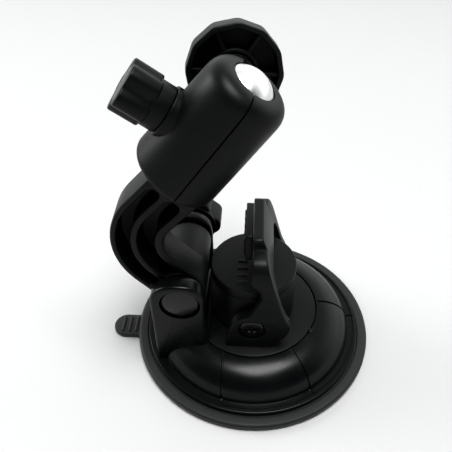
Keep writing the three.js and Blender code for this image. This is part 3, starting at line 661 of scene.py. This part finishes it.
# %% Cam plate
PLATE_R, PLATE_CUT = 19.3, 12.6
cut_angle = math.pi - math.acos(PLATE_CUT / PLATE_R)
a = np.linspace(-cut_angle, cut_angle, 180)
plate_outline = refine(PLATE_R * np.column_stack([np.cos(a), np.sin(a)]), 1.0)
rows = [(0, 8.5, 0, 10.1), (0, 8.5, 0, 11.2), (0, 8.7, 0, 11.4)]
rows += [(1, 0, i, 11.4 - d) for i, d in rim(0.3, 4)]
rows += [(1, 0, 0, 10.1)]
cam_plate = piece("cam_ring", [inward(plate_outline, rows, UPRIGHT)])
finish(cam_plate, "satin_abs", "base", "cam_plate")

# %% [markdown]
# ## Plunger
# The plunger's cap is a plain drum with a parting groove below its flat top. A row of raised
# bars marks where it is pushed.

# %% Plunger cap
DRUM_R, DRUM_IN, DRUM_TOP = 12.3, 10.3, 30.15
wall = [(DRUM_IN, 11.9), (DRUM_R, 11.9), (DRUM_R, 27.1)]
parting = [(12.0, 27.3), (12.0, 27.6), (DRUM_R, 27.8)]
drum = wall + parting + [(DRUM_R, DRUM_TOP), (0, DRUM_TOP)]
drum = soften(drum, [0, 0.3, 0.1, 0.1, 0.1, 0.1, 0.55, 0], 5)
inside = np.array([(0, 28.4), (DRUM_IN, 28.4)])
marks = [brick(-4.6, -1.6, y, y + 1.1, 29.9, 30.4, 0.2) for y in (-8.6, -5.9, -3.2, -0.5)]
cap = piece("plunger_drum", [turn(np.vstack([drum, inside]), count=160, wrap=True), *marks])
finish(cap, "satin_abs", "plunger", "plunger_cap")

# %% [markdown]
# ## Lever
# The lever is a bail: two cam cheeks beside the drum, joined by a grip above it. Seen from the
# side its edges wander, and seen from the front it is an arch. One grid makes both: it runs
# along the arch between an outer and an inner line, and at every height its two faces are read
# from the side view's left and right edges.

# %% Lever bail


def along(line, anchors, count_per):
    """Points at even steps between anchor corners, so that two lines stay in step."""
    line = np.array(line, float)
    length = np.concatenate([[0], np.cumsum(np.linalg.norm(np.diff(line, axis=0), axis=1))])
    spots = length[[np.argmin(np.linalg.norm(line - np.array(p), axis=1)) for p in anchors]]
    runs = zip(spots, spots[1:], count_per)
    t = np.concatenate([np.linspace(a, b, n, endpoint=False) for a, b, n in runs])
    t = np.append(t, spots[-1])
    return np.column_stack([np.interp(t, length, line[:, 0]), np.interp(t, length, line[:, 1])])


OUTER = [(16, 11.7), (16, 37.6), (14.9, 41.2), (13, 43.1), (10.6, 43.6), (8.6, 43.8), (8.6, 47), (0, 47)]
INNER = [(13, 11.7), (13, 31.6), (11.6, 35.0), (9, 36.6), (0, 36.6)]
outer = refine(soften(OUTER, [0, 3, 1.5, 1.2, 1, 0.5, 0.9, 0], 8), 0.15, closed=False)
inner = refine(soften(INNER, [0, 1.5, 1.5, 2, 0], 8), 0.15, closed=False)
steps = (50, 26, 14, 24)
outer = along(outer, [(16, 11.7), (16, 36.5), (13, 43.1), (8.6, 44.5), (0, 47)], steps)
inner = along(inner, [(13, 11.7), (13, 31.6), (10.5, 35.6), (8, 36.6), (0, 36.6)], steps)
outer = np.vstack([outer, (outer[:-1] * [-1, 1])[::-1]])
inner = np.vstack([inner, (inner[:-1] * [-1, 1])[::-1]])

turn_angle = np.linspace(0, math.pi / 2, 16)
LIFT, REST_REACH = 3.5, 7.2
growth = LIFT / (math.pi / 2)
reach = REST_REACH + growth * turn_angle
spiral_x = reach * np.sin(turn_angle) + growth * np.cos(turn_angle)
spiral_z = PIN_Z - reach * np.cos(turn_angle) + growth * np.sin(turn_angle)
RIGHT = soften([(9.8, 22.5), (8.4, 25.9), (4.6, 39.9), (2.3, 47.0)], [0, 1.5, 2, 0], 6)
cheek = [(-7.4, 11.7), (-6.4, 18.9), (-4.6, 22.9), (-0.2, 24.9)]
grip_side = [(2.7, 31.9), (1.9, 35), (-0.4, 37.4), (-0.4, 47)]
LEFT = soften(cheek + grip_side, [0, 1.5, 1.5, 1.8, 2, 1, 1, 0], 6)
right_z = np.concatenate([spiral_z, RIGHT[:, 1]])
right_x = np.concatenate([spiral_x, RIGHT[:, 0]])


def bail_loop(outer, inner, edge, steps=4):
    """A rounded rectangle between two points: a runs from outer to inner, b from left to right.
    Each corner is a quarter circle of radius edge, measured in the local thickness and width."""
    thick = np.linalg.norm(outer - inner, axis=1)[:, None]
    q = np.linspace(0, math.pi / 2, steps + 1)
    s, c = 1 - np.sin(q), 1 - np.cos(q)
    one = np.ones_like(q)
    a_base = np.concatenate([0 * one, 0 * one, one, one])
    a_sign = np.concatenate([s, c, -s, -c])
    b_base = np.concatenate([0 * one, one, one, 0 * one])
    b_sign = np.concatenate([c, -s, -c, s])
    a = a_base + edge * a_sign / thick
    point = outer[:, None] * (1 - a[..., None]) + inner[:, None] * a[..., None]
    z = point[..., 1]
    left = np.interp(z, LEFT[:, 1], LEFT[:, 0])
    right = np.interp(z, right_z, right_x)
    b = b_base + edge * b_sign / (right - left)
    return np.stack([left * (1 - b) + right * b, point[..., 0], z], axis=2)


bail = piece("lever_bail", [part_of(bail_loop(outer, inner, 0.45))], sharp=50)
eye = piece("eye_cutter", [turn([(0, -17), (3.9, -17), (3.9, -15), (0, -15)], AT_PIN, 64)])
carve(bail, eye)
ease(bail, 0.2, 2, 50)
finish(bail, "satin_abs", "lever", "cam_lever")

# %% [markdown]
# The thumb's side of the grip carries a thin plate with raised bars, so that it doesn't slip.

# %% Thumb plate
ON_GRIP = place((-0.7, 0, 0), (0, 1, 0), (-1, 0, 0))  # local x is +Y, y is down, height is -X
BARS, BAR_STEP, BAR_WIDE, FIRST_BAR = 5, 2.7, 1.3, -6.3
bar_starts = [FIRST_BAR + BAR_STEP * i for i in range(BARS)]
bars = [brick(y, y + BAR_WIDE, -45.0, -38.9, 1.2, 2.1, 0.3, ON_GRIP) for y in bar_starts]
thumb_blank = brick(-7.0, 7.4, -46.5, -37.4, -0.25, 1.7, 0.25, ON_GRIP, 1.2)
thumb = piece("thumb_plate", [thumb_blank, *bars])
finish(thumb, "satin_abs", "lever", "thumb_pad")

# %% [markdown]
# ## Lever pin
# The pin's head sits in a round recess of the near cheek. It is a turned pan head, and two
# bars cut across each other from its face make the driver's cross.

# %% Lever pin
pan_head = [(0, -15.6), (1.0, -15.6), (1.3, -15.8), (3.1, -15.7), (3.5, -15.3), (3.5, -15.1)]
shank = [(1.5, -15.1), (1.5, 17.1), (0, 17.1)]
pin_line = soften(pan_head + shank, [0, 0.1, 0.2, 0.3, 0.1, 0.1, 0, 0.3, 0], 4)
pin = piece("lever_pin_head", [turn(pin_line, AT_PIN, 64)])
cross = [brick(-w, w, -h, h, -17, -14.9, 0.05, AT_PIN) for w, h in ((1.9, 0.35), (0.35, 1.9))]
carve(pin, *[piece("cross_cutter", [bar]) for bar in cross])
finish(pin, "black_steel", "plunger", "lever_pin")

# %% [markdown]
# ## Arm
# The arm is a bowed beam moulded open on one side: three ribs stand on a thin web, and the
# channels between them end in half circles. Along the beam the cross-section is carried on a
# path of straight, arc, straight. Near its end a channel narrows like the edge of a circle,
# and past the end its depth drops to nothing.

# %% Arm beam
LOWER, UPPER = 10.5, 14.2  # straight runs; the upper one goes on into the head
FRONT, BACK, WEB = -10.5, -1.5, 1.5
arc_long = BEND_R * 2 * SWEEP
total = LOWER + arc_long + UPPER
CHANNELS = [(1.6, 5.4, 4.6, 8.6), (-4.7, -0.1, 7.6, 8.6)]  # low u, high u, start and end margins


def path(s):
    """Middle of the beam and its outward direction, in x and z, at distance s from the hub."""
    turned = np.clip(s - LOWER, 0, arc_long)
    a = math.pi + SWEEP - turned / BEND_R
    out = np.column_stack([np.cos(a), np.sin(a)])
    forward = np.column_stack([np.sin(a), -np.cos(a)])
    spare = (s - LOWER - turned)[:, None]
    return np.array(BEND) + BEND_R * out + spare * forward, out


def channel_rows(s, low, high, start_short, end_long):
    """Half width and depth of a channel along the beam: full between its ends, round at them."""
    radius = (high - low) / 2
    begin, end = LOWER - start_short, LOWER + arc_long + end_long
    near = np.minimum(s - begin, end - s)
    t = np.clip((radius - near) / radius, 0, 1)
    width = radius * np.sqrt(np.clip(1 - t**2, 0, 1))
    return width, np.where((near > 0.0) & (width > 0.05), BACK - WEB - FRONT, 0.0)


def channel_line(middle, width, depth):
    """Across one channel, as rows of points (u, y): rounded lips, walls, rounded floor corners."""
    q = np.linspace(0, math.pi / 2, 4)
    lip = 0.35 * np.minimum(1, width / 0.7)[:, None]
    floor = 0.5 * np.minimum(1, width / 1.0)[:, None]
    real = (depth > 0)[:, None]
    w, d = width[:, None], depth[:, None]
    u = np.hstack([w + lip * (1 - np.sin(q)), w - floor * (1 - np.cos(q))])
    y = np.hstack([lip * (1 - np.cos(q)), d - floor * (1 - np.sin(q))])
    u, y = np.where(real, u, w), np.where(real, y, 0)
    u = np.hstack([middle + u, middle - u[:, ::-1]])
    return np.stack([u, FRONT + np.hstack([y, y[:, ::-1]])], axis=2)


ends = []
for low, high, short, long in CHANNELS:
    radius = (high - low) / 2
    q = radius * (1 - np.cos(np.linspace(0.06, math.pi / 2, 9)))
    ends += [LOWER - short + q, LOWER + arc_long + long - q]
    ends += [[LOWER - short - 0.01, LOWER + arc_long + long + 0.01]]
s = np.unique(np.round(np.concatenate([np.linspace(0, total, 90), *ends]), 5))
centre, out = path(s)
q = np.linspace(0, math.pi / 2, 5)
corner = 0.6
outside = np.column_stack([6.9 - corner * (1 - np.cos(q)), FRONT + corner * (1 - np.sin(q))])
inside = np.column_stack([-6.9 + corner * (1 - np.sin(q)), FRONT + corner * (1 - np.cos(q))])
back = np.array([(-6.9, -2.1), (-6.7, -1.65), (-6.3, -1.5), (6.3, -1.5), (6.7, -1.65), (6.9, -2.1)])
rows = len(s)
section = [np.broadcast_to(outside, (rows, 5, 2))]
for low, high, short, long in CHANNELS:
    width, depth = channel_rows(s, low, high, short, long)
    section.append(channel_line((low + high) / 2, width, depth))
section += [np.broadcast_to(inside, (rows, 5, 2)), np.broadcast_to(back, (rows, 6, 2))]
section = np.concatenate(section, axis=1)
xz = centre[:, None] + section[..., :1] * out[:, None]
beam = part_of(np.stack([xz[..., 0], section[..., 1], xz[..., 1]], axis=2))

hub_line = [(0, -10.6), (6.8, -10.6), (6.8, -1.6), (6.55, -1.4), (6.55, 10.4), (0, 10.4)]
hub_line = soften(hub_line, [0, 0.7, 0.2, 0.2, 0.4, 0], 5)
hub = turn(hub_line, AT_PIVOT, 120)
print("beam rows:", rows, "points across:", section.shape[1])

# %% [markdown]
# The hub's far face has a ring of shallow teeth, so that the arm locks in steps. Their height
# is a triangle wave round the ring.

# %% Hub teeth
TEETH = 20
a = np.linspace(0, 2 * math.pi, TEETH * 8, endpoint=False)
wave = np.abs(((a * TEETH / (2 * math.pi)) % 1) - 0.5) * 2
wave = np.clip(wave * 1.4 - 0.2, 0, 1) * 0.6
ring_r = np.array([3.9, 3.9, 4.1, 6.2, 6.4, 6.4])
lift = np.array([-0.5, 0.2, 1, 1, 0.2, -0.5])
tall = 10.4 + np.where(lift[:, None] < 0, -0.4, wave[None] * lift[:, None])
teeth_grid = np.stack([ring_r[:, None] * np.cos(a), ring_r[:, None] * np.sin(a), tall], axis=2)
teeth = part_of(teeth_grid, AT_PIVOT, wrap_rows=True)
arm = piece("bowed_arm", [beam, hub, teeth], sharp=40)
finish(arm, "satin_abs", "arm", "arm_bracket")

# %% [markdown]
# ## Clamping head
# Two half barrels close on the ball. Both are made from one turned shell with a ball socket,
# each cut back to its own side of the seam. A slot at the back lets the camera screw swing up.

# %% Half barrels
FOOT_R, TOP_R, HEAD_LONG, SOCKET_R = 11.5, 10.2, 31.4, 7.5
SEAM_HALF = 0.2
SLOT_HALF, SLOT_DEEP, SLOT_TOP = 3.2, 14.0, 12.0
barrel_line = [(0, 0), (FOOT_R, 0), (TOP_R, HEAD_LONG), (0, HEAD_LONG)]
barrel_line = soften(barrel_line, [0, 2.0, 5.4, 0], 16)
a = np.linspace(-math.pi / 2, math.pi / 2, 48)
socket_line = np.column_stack([SOCKET_R * np.cos(a), BALL_UP + SOCKET_R * np.sin(a)])
socket_line[[0, -1], 0] = 0


def slot_cutter():
    """A long round-ended slot that follows the screw from its rest up to the head's mouth."""
    a = np.linspace(math.pi, 2 * math.pi, 24)
    low = SLOT_HALF * np.column_stack([np.cos(a), np.sin(a)])
    near = np.vstack([low, [(SLOT_HALF, SLOT_TOP), (-SLOT_HALF, SLOT_TOP)]])
    far = near.copy()
    far[: len(a), 1] -= math.tan(SCREW_DROOP) * SLOT_DEEP
    rows = np.stack([near, far])
    depth = np.broadcast_to(np.array([0.0, SLOT_DEEP])[:, None, None], (2, len(near), 1))
    grid = np.concatenate([rows[..., :1], depth, rows[..., 1:] + BALL_UP], axis=2)
    return piece("slot_cutter", [part_of(grid, AT_HEAD)])


def half_barrel(name, sign):
    """The whole barrel less the other half, half of the seam, the ball's socket and the slot."""
    half = piece(name, [turn(barrel_line, AT_BARREL, 160)])
    low, high = (-SEAM_HALF, 20) if sign < 0 else (-20, SEAM_HALF)
    other = piece("half_cutter", [brick(low, high, -20, 20, -5, 40, 0.01, AT_HEAD)])
    socket = piece("socket_cutter", [turn(socket_line, AT_HEAD, 112)])
    carve(half, other, socket, slot_cutter())
    return half


left = half_barrel("left_barrel", -1)
seat_line = soften([(0, 8), (6.2, 8), (6.2, 11.85), (0, 11.85)], [0, 0, 0.25, 0], 5)
seat = piece("seat", [turn(seat_line, AT_CLAMP, 96)])
ease(left, 0.22, 2, 40)
right = ease(half_barrel("right_barrel", 1), 0.22, 2, 40)
finish(left, "satin_abs", "arm", "left_jaw")
finish(right, "satin_abs", "arm", "right_jaw")
finish(seat, "satin_abs", "arm")

# %% [markdown]
# ## Ball and camera screw
# The ball is chromed steel with a flat where the screw leaves it. The screw's thread is a real
# helix: on the threaded part the radius is a wave of height over pitch minus angle over one
# turn, at 20 threads to the inch.

# %% Ball
BALL_R, BALL_FLAT = 7.2, 6.4
a = np.linspace(-math.pi / 2, math.asin(BALL_FLAT / BALL_R), 60)
ball_line = BALL_R * np.column_stack([np.cos(a), np.sin(a)])
ball_line[0, 0] = 0
ball_line = np.vstack([ball_line, [(3.1, BALL_FLAT), (2.9, BALL_FLAT - 0.2), (0, BALL_FLAT - 0.2)]])
ball = piece("chrome_ball", [turn(ball_line, AT_SCREW, 128)])
finish(ball, "chrome", "ball", "clamp_ball")

# %% Camera screw
PITCH, MAJOR, ROOT = 1.27, 3.175, 2.55
h = np.linspace(13.2, 28.2, 190)
a = np.linspace(0, 2 * math.pi, 48, endpoint=False)
phase = (h[:, None] / PITCH - a[None] / (2 * math.pi)) % 1
crest = np.clip(np.abs(phase - 0.5) * 2 * 1.25 - 0.125, 0, 1)
fade = np.clip((h - 13.3) / 0.8, 0, 1) * np.clip((28.5 - h) / 1.4, 0, 1)
radius = ROOT + (MAJOR - ROOT) * crest * fade[:, None]
rise = np.broadcast_to(h[:, None], radius.shape)
thread = np.stack([radius * np.cos(a), radius * np.sin(a), rise], axis=2)
neck = np.array([(0, 6.7), (2.6, 6.7), (2.6, 12.8), (2.55, 13.15)])
tip = np.array([(2.3, 28.4), (2.0, 28.6), (0, 28.6)])


def rings(profile):
    """Profile points as rings with the thread's columns."""
    flat = profile[:, None, :1] * np.stack([np.cos(a), np.sin(a)], axis=1)[None]
    height = np.broadcast_to(profile[:, None, 1:], (len(profile), len(a), 1))
    return np.concatenate([flat, height], axis=2)


stud_grid = np.concatenate([rings(neck), thread, rings(tip)])
stud = piece("camera_stud", [part_of(stud_grid, AT_SCREW, caps=False)], sharp=60)
finish(stud, "zinc_steel", "screw", "camera_screw")

# %% [markdown]
# ## Lock wheel
# The wheel is a twelve-sided cup, open towards the ball, with a hub and six thin ribs, as
# mouldings are cored out to keep their walls even.

# %% Lock wheel
NEAR, FAR, FACE, FLAT, WALL = 16.3, 21.9, 20.6, 11.8, 1.3
SIDES, SPOKES, SPOKE_HALF = 12, 6, 0.4
turned_by = math.pi / SIDES + (np.arange(SIDES) + 0.5) * 2 * math.pi / SIDES
corners = FLAT / math.cos(math.pi / SIDES) * np.column_stack([np.cos(turned_by), np.sin(turned_by)])
dodecagon = refine(soften(corners, 1.1, 5, closed=True), 1.2)
r_in = FLAT - WALL
cup_rows = [(1, 0, i, NEAR + d) for i, d in rim(0.4, 4)]
cup_rows += [(1, 0, i, FAR - d) for i, d in rim(0.7, 5)[::-1]]
cup_rows += [(0, 5.5, 0, FAR), (0, 5.5, 0, FACE)]
cup_rows += [(1, 0, WALL + 0.5, FACE), (1, 0, WALL + 0.12, FACE - 0.15), (1, 0, WALL, FACE - 0.5)]
cup_rows += [(1, 0, WALL, NEAR + 0.25), (1, 0, WALL - 0.2, NEAR)]
order = np.argsort(np.arctan2(dodecagon[:, 1], dodecagon[:, 0]) % (2 * math.pi))
dodecagon = dodecagon[order]
cup = inward(dodecagon, cup_rows, AT_SCREW)
hub_line = [(5.05, 17.0), (5.9, 17.0), (5.9, 21.8), (3.6, 21.8), (3.6, 20.8), (5.05, 20.8)]
hub_ring = turn(soften(hub_line, 0.25, 4, closed=True), AT_SCREW, 96, wrap=True)


def turned_place(where, angle):
    """The same place turned about its own axis by an angle."""
    c, s = math.cos(angle), math.sin(angle)
    x = where[:, 0] * c + where[:, 1] * s
    y = where[:, 1] * c - where[:, 0] * s
    return np.column_stack([x, y, where[:, 2], where[:, 3]])


spoke_angles = [math.radians(30 + 360 / SPOKES * i) for i in range(SPOKES)]
spoke_size = (5.5, r_in + 0.4, -SPOKE_HALF, SPOKE_HALF, NEAR + 1.1, FACE + 0.4, 0.15)
spokes = [brick(*spoke_size, turned_place(AT_SCREW, angle)) for angle in spoke_angles]
wheel = piece("lock_wheel_moulding", [cup, hub_ring, *spokes])
finish(wheel, "satin_abs", "wheel", "lock_wheel")

# %% [markdown]
# The threaded insert is knurled and blackened, and the camera rests on a ridged rubber ring.

# %% Wheel insert and camera ring
a = np.linspace(0, 2 * math.pi, 240, endpoint=False)
KNURLS = 40
knurl = 4.6 + 0.1 * np.abs(((a * KNURLS / (2 * math.pi)) % 1) * 2 - 1)
knurled = np.column_stack([knurl * np.cos(a), knurl * np.sin(a)])
insert_rows = [(0, 3.5, 0, 16.9), (1, 0, 0.3, 16.9), (1, 0, 0, 17.1)]
insert_rows += [(1, 0, 0, 20.5), (1, 0, 0.2, 20.7), (0, 3.5, 0, 20.7)]
insert = piece("threaded_insert", [inward(knurled, insert_rows, AT_SCREW)])
finish(insert, "black_steel", "wheel", "wheel_insert")
RIDGES_IN, RIDGES_OUT, RIDGE_STEP, RIDGE_DEEP, RING_FACE = 3.9, 9.1, 0.87, 0.22, 23.3
ridge_r = np.linspace(RIDGES_OUT, RIDGES_IN, 60)
valley = np.abs(np.sin((ridge_r - RIDGES_IN) * math.pi / RIDGE_STEP))
ridges = np.column_stack([ridge_r, RING_FACE - RIDGE_DEEP * valley])
ring_back = [(3.6, 22.2), (9.2, 22.2), (9.4, 22.4), (9.4, 23.1), (9.25, RING_FACE)]
ring_line = np.vstack([ring_back, ridges, [(3.7, RING_FACE), (3.6, 23.1)]])
camera_ring = piece("camera_ring", [turn(ring_line, AT_SCREW, 120, wrap=True)], sharp=60)
finish(camera_ring, "soft_rubber", "wheel", "camera_pad")

# %% [markdown]
# ## Hand knobs
# Both knobs have five lobes with flutes between them, so that wet fingers can turn them. The
# outline is a circle less a power of a cosine, which leaves the lobes wide and the flutes round.

# %% Knobs


def lobed(radius, phase, count=200):
    """Radius times one minus a fifth of a cosine's bump to the power 1.5, five times round."""
    a = np.linspace(0, 2 * math.pi, count, endpoint=False)
    bump = (0.5 - 0.5 * np.cos(5 * (a - phase))) ** 1.5
    r = radius * (1 - 0.2 * bump)
    return np.column_stack([r * np.cos(a), r * np.sin(a)])


def knob_rows(near, end, edge, recess_r, recess):
    """From the neck's end over the lobes to the far face, then into a round recess."""
    rows = [(0, 2.4, 0, near + 0.2), (0, 4.6, 0, near + 0.2)]
    rows += [(1, 0, i, near + d) for i, d in rim(edge)]
    rows += [(1, 0, i, end - d) for i, d in rim(edge, 6)[::-1]]
    rows += [(0, recess_r + 0.25, 0, end), (0, recess_r, 0, end - 0.2), (0, recess_r, 0, end - recess)]
    rows += [(0, 2.4, 0, end - recess)]
    return rows


grip = inward(lobed(6.6, 0.5), knob_rows(15.4, 22.9, 0.5, 4.55, 0.8), AT_CLAMP)
neck_line = [(2.4, 13.25), (5.35, 13.25), (5.35, 12.05), (5.7, 12.05), (5.7, 16.0), (2.4, 16.0)]
neck_line = soften(neck_line, 0.15, 4, closed=True)  # the skirt hides the washer
clamp_knob = piece("clamp_hand_knob", [grip, turn(neck_line, AT_CLAMP, 96, wrap=True)])
finish(clamp_knob, "satin_abs", "clamp_knob", "clamp_knob")
cap_line = soften([(0, 22.2), (4.45, 22.2), (4.45, 22.85), (0, 23.0)], [0, 0, 0.3, 0], 5)
knob_cap = piece("knob_end_cap", [turn(cap_line, AT_CLAMP, 96)])
finish(knob_cap, "gloss_abs", "clamp_knob", "clamp_knob_cap")
grip = inward(lobed(9.0, 0.1), knob_rows(16.7, 25.1, 0.7, 6.0, 0.5), AT_PIVOT)
collar = soften([(2.6, 15.9), (7.6, 15.9), (7.6, 17.3), (2.6, 17.3)], 0.35, 4, closed=True)
boss = soften([(0, 24.2), (5.7, 24.2), (5.4, 24.9), (0, 25.05)], [0, 0.1, 0.4, 0], 5)
collar_ring = turn(collar, AT_PIVOT, 96, wrap=True)
pivot_knob = piece("pivot_hand_knob", [grip, collar_ring, turn(boss, AT_PIVOT, 96)])
finish(pivot_knob, "satin_abs", "tilt_knob", "pivot_knob")

# %% [markdown]
# ## Pivot bolt
# The arm turns on a steel bolt with a low domed head, coated black and set in the front ear.

# %% Pivot bolt
a = np.linspace(0, 1, 24)
dome = np.column_stack([4.9 * a, -15.85 + 0.4 * a**2])
head_side = [(5.2, -15.2), (5.35, -14.8), (5.35, -13.1)]
bolt_shank = [(2.5, -13.1), (2.5, 23.1), (0, 23.1)]
bolt_line = np.vstack([dome, head_side, bolt_shank])
bolt = piece("pivot_bolt_head", [turn(bolt_line, AT_PIVOT, 96)])
finish(bolt, "black_steel", "base", "pivot_bolt")

# %% [markdown]
# ## Small hardware
# Washers, nuts and screws are barely seen, so the engineering model's own solids stay, each
# with the finish that the record names for it.

# %% Carried-over nodes
slots = {part["node"]: part["material_slot"] for part in frame["record"]["subparts"]}
for node in frame["nodes"].values():
    if node.hide_render:
        continue
    slot_name = slots.get(node.name, "zinc_steel")
    node.data.materials.clear()
    node.data.materials.append(FINISH[slot_name])

# %% [markdown]
# ## Stage, light and camera
# A black glossy object is drawn by what it reflects. The surround is dim overhead, and pale
# low down and on the far side, which gives the grazing edges their white. One wide softbox
# overhead gives the broad sheen on the barrel, and a weaker one from the left picks out the ribs.

# %% Floor and surround
FLOOR_HALF = 30  # metres
floor_mesh = bpy.data.meshes.new("floor")
corners = [(x * FLOOR_HALF, y * FLOOR_HALF, 0) for x, y in ((-1, -1), (1, -1), (1, 1), (-1, 1))]
floor_mesh.from_pydata(corners, [], [(0, 1, 2, 3)])
floor = bpy.data.objects.new("floor", floor_mesh)
bpy.context.scene.collection.objects.link(floor)
floor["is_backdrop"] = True
floor_paint, tree, shader = fresh("white sweep", {"Roughness": 0.75, "Specular IOR Level": 0.2})
spot = add(tree, "ShaderNodeTexCoord").outputs["Object"]
cloud = add(tree, "ShaderNodeTexNoise", inputs={"Scale": 3.0, "Detail": 2.0}, Vector=spot).outputs["Fac"]
tree.links.new(ramp(tree, cloud, [(0.2, "#bdbdbd"), (0.8, "#c1c1c1")]), shader.inputs["Base Color"])
floor_mesh.materials.append(floor_paint)

world = bpy.data.worlds.new("pale walls, dim ceiling")
bpy.context.scene.world = world
world.use_nodes = True
tree = world.node_tree
background = tree.nodes["Background"]
way = add(tree, "ShaderNodeTexCoord").outputs["Generated"]
apart = add(tree, "ShaderNodeSeparateXYZ", Vector=way)


def between(source, low, high, at_low, at_high):
    """A value mapped from low and high to two others, and held at them outside."""
    limits = {"From Min": low, "From Max": high, "To Min": at_low, "To Max": at_high}
    return add(tree, "ShaderNodeMapRange", inputs=limits, Value=source).outputs["Result"]


low_band = between(apart.outputs["Z"], 0.05, 0.14, 1.0, 0.0)
back_wall = add(tree, "ShaderNodeMath", {"operation": "MULTIPLY"})
tree.links.new(between(apart.outputs["Z"], 0.5, 0.9, 1.0, 0.0), back_wall.inputs[0])
tree.links.new(between(apart.outputs["Y"], -0.35, 0.35, 0.0, 1.0), back_wall.inputs[1])
pale = add(tree, "ShaderNodeMath", {"operation": "MAXIMUM"})
tree.links.new(low_band, pale.inputs[0])
tree.links.new(back_wall.outputs[0], pale.inputs[1])
walls = ramp(tree, pale.outputs[0], [(0.0, "#2b2d2f"), (1.0, "#fbfcfd")])
tree.links.new(walls, background.inputs["Color"])
background.inputs["Strength"].default_value = 2.0
bpy.context.scene.view_settings.view_transform = "Standard"
bpy.context.scene.view_settings.gamma = 0.8


def softbox(name, spot, aim, size, power):
    """A rectangular area light that looks at a point."""
    lamp = bpy.data.lights.new(name, "AREA")
    lamp.shape = "RECTANGLE"
    lamp.size, lamp.size_y = size
    lamp.energy = power
    made = bpy.data.objects.new(name, lamp)
    bpy.context.scene.collection.objects.link(made)
    look = Vector(spot) - Vector(aim)
    made.location = spot
    made.rotation_euler = look.to_track_quat("Z", "Y").to_euler()
    return made


softbox("overhead", (0.1, -0.1, 0.9), (0, 0, 0), (0.5, 0.4), 11.0)
softbox("left", (-0.7, 0.2, 0.35), (0, 0, 0.04), (0.3, 0.4), 3.0)

# %% Camera
YAW, PITCH_DOWN, ROLL = math.radians(-3.95), math.radians(42.65), math.radians(-0.9)
FOCAL, SENSOR = 45.5575, 36  # millimetres
CAMERA_AT = (0, -0.114, 0.149)
level = math.cos(PITCH_DOWN)
forward = np.array([math.sin(YAW) * level, math.cos(YAW) * level, -math.sin(PITCH_DOWN)])
across = np.array([math.cos(YAW), -math.sin(YAW), 0])
upward = np.cross(across, forward)
right_way = math.cos(ROLL) * across + math.sin(ROLL) * upward
up_way = -math.sin(ROLL) * across + math.cos(ROLL) * upward
lens = bpy.data.cameras.new("camera")
lens.sensor_width = SENSOR
lens.lens = FOCAL
lens.clip_start = 0.005
camera = bpy.data.objects.new("camera", lens)
bpy.context.scene.collection.objects.link(camera)
pose = np.eye(4)
pose[:3, :3] = np.column_stack([right_way, up_way, -forward])
pose[:3, 3] = CAMERA_AT
camera.matrix_world = Matrix(pose.tolist())
bpy.context.scene.camera = camera

# %% [markdown]
# ## Sizes
# Both boxes, the engineering model's and the visual model's, are worked out and printed.
# The visual model has to stay inside the engineering model's box.

# %% Sizes and finish
visual_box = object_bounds()
boxes = {"cad": cad_box, "visual": visual_box}
boxes = {name: [list(map(float, corner)) for corner in box] for name, box in boxes.items()}
print("cad", cad_box, "visual", visual_box)
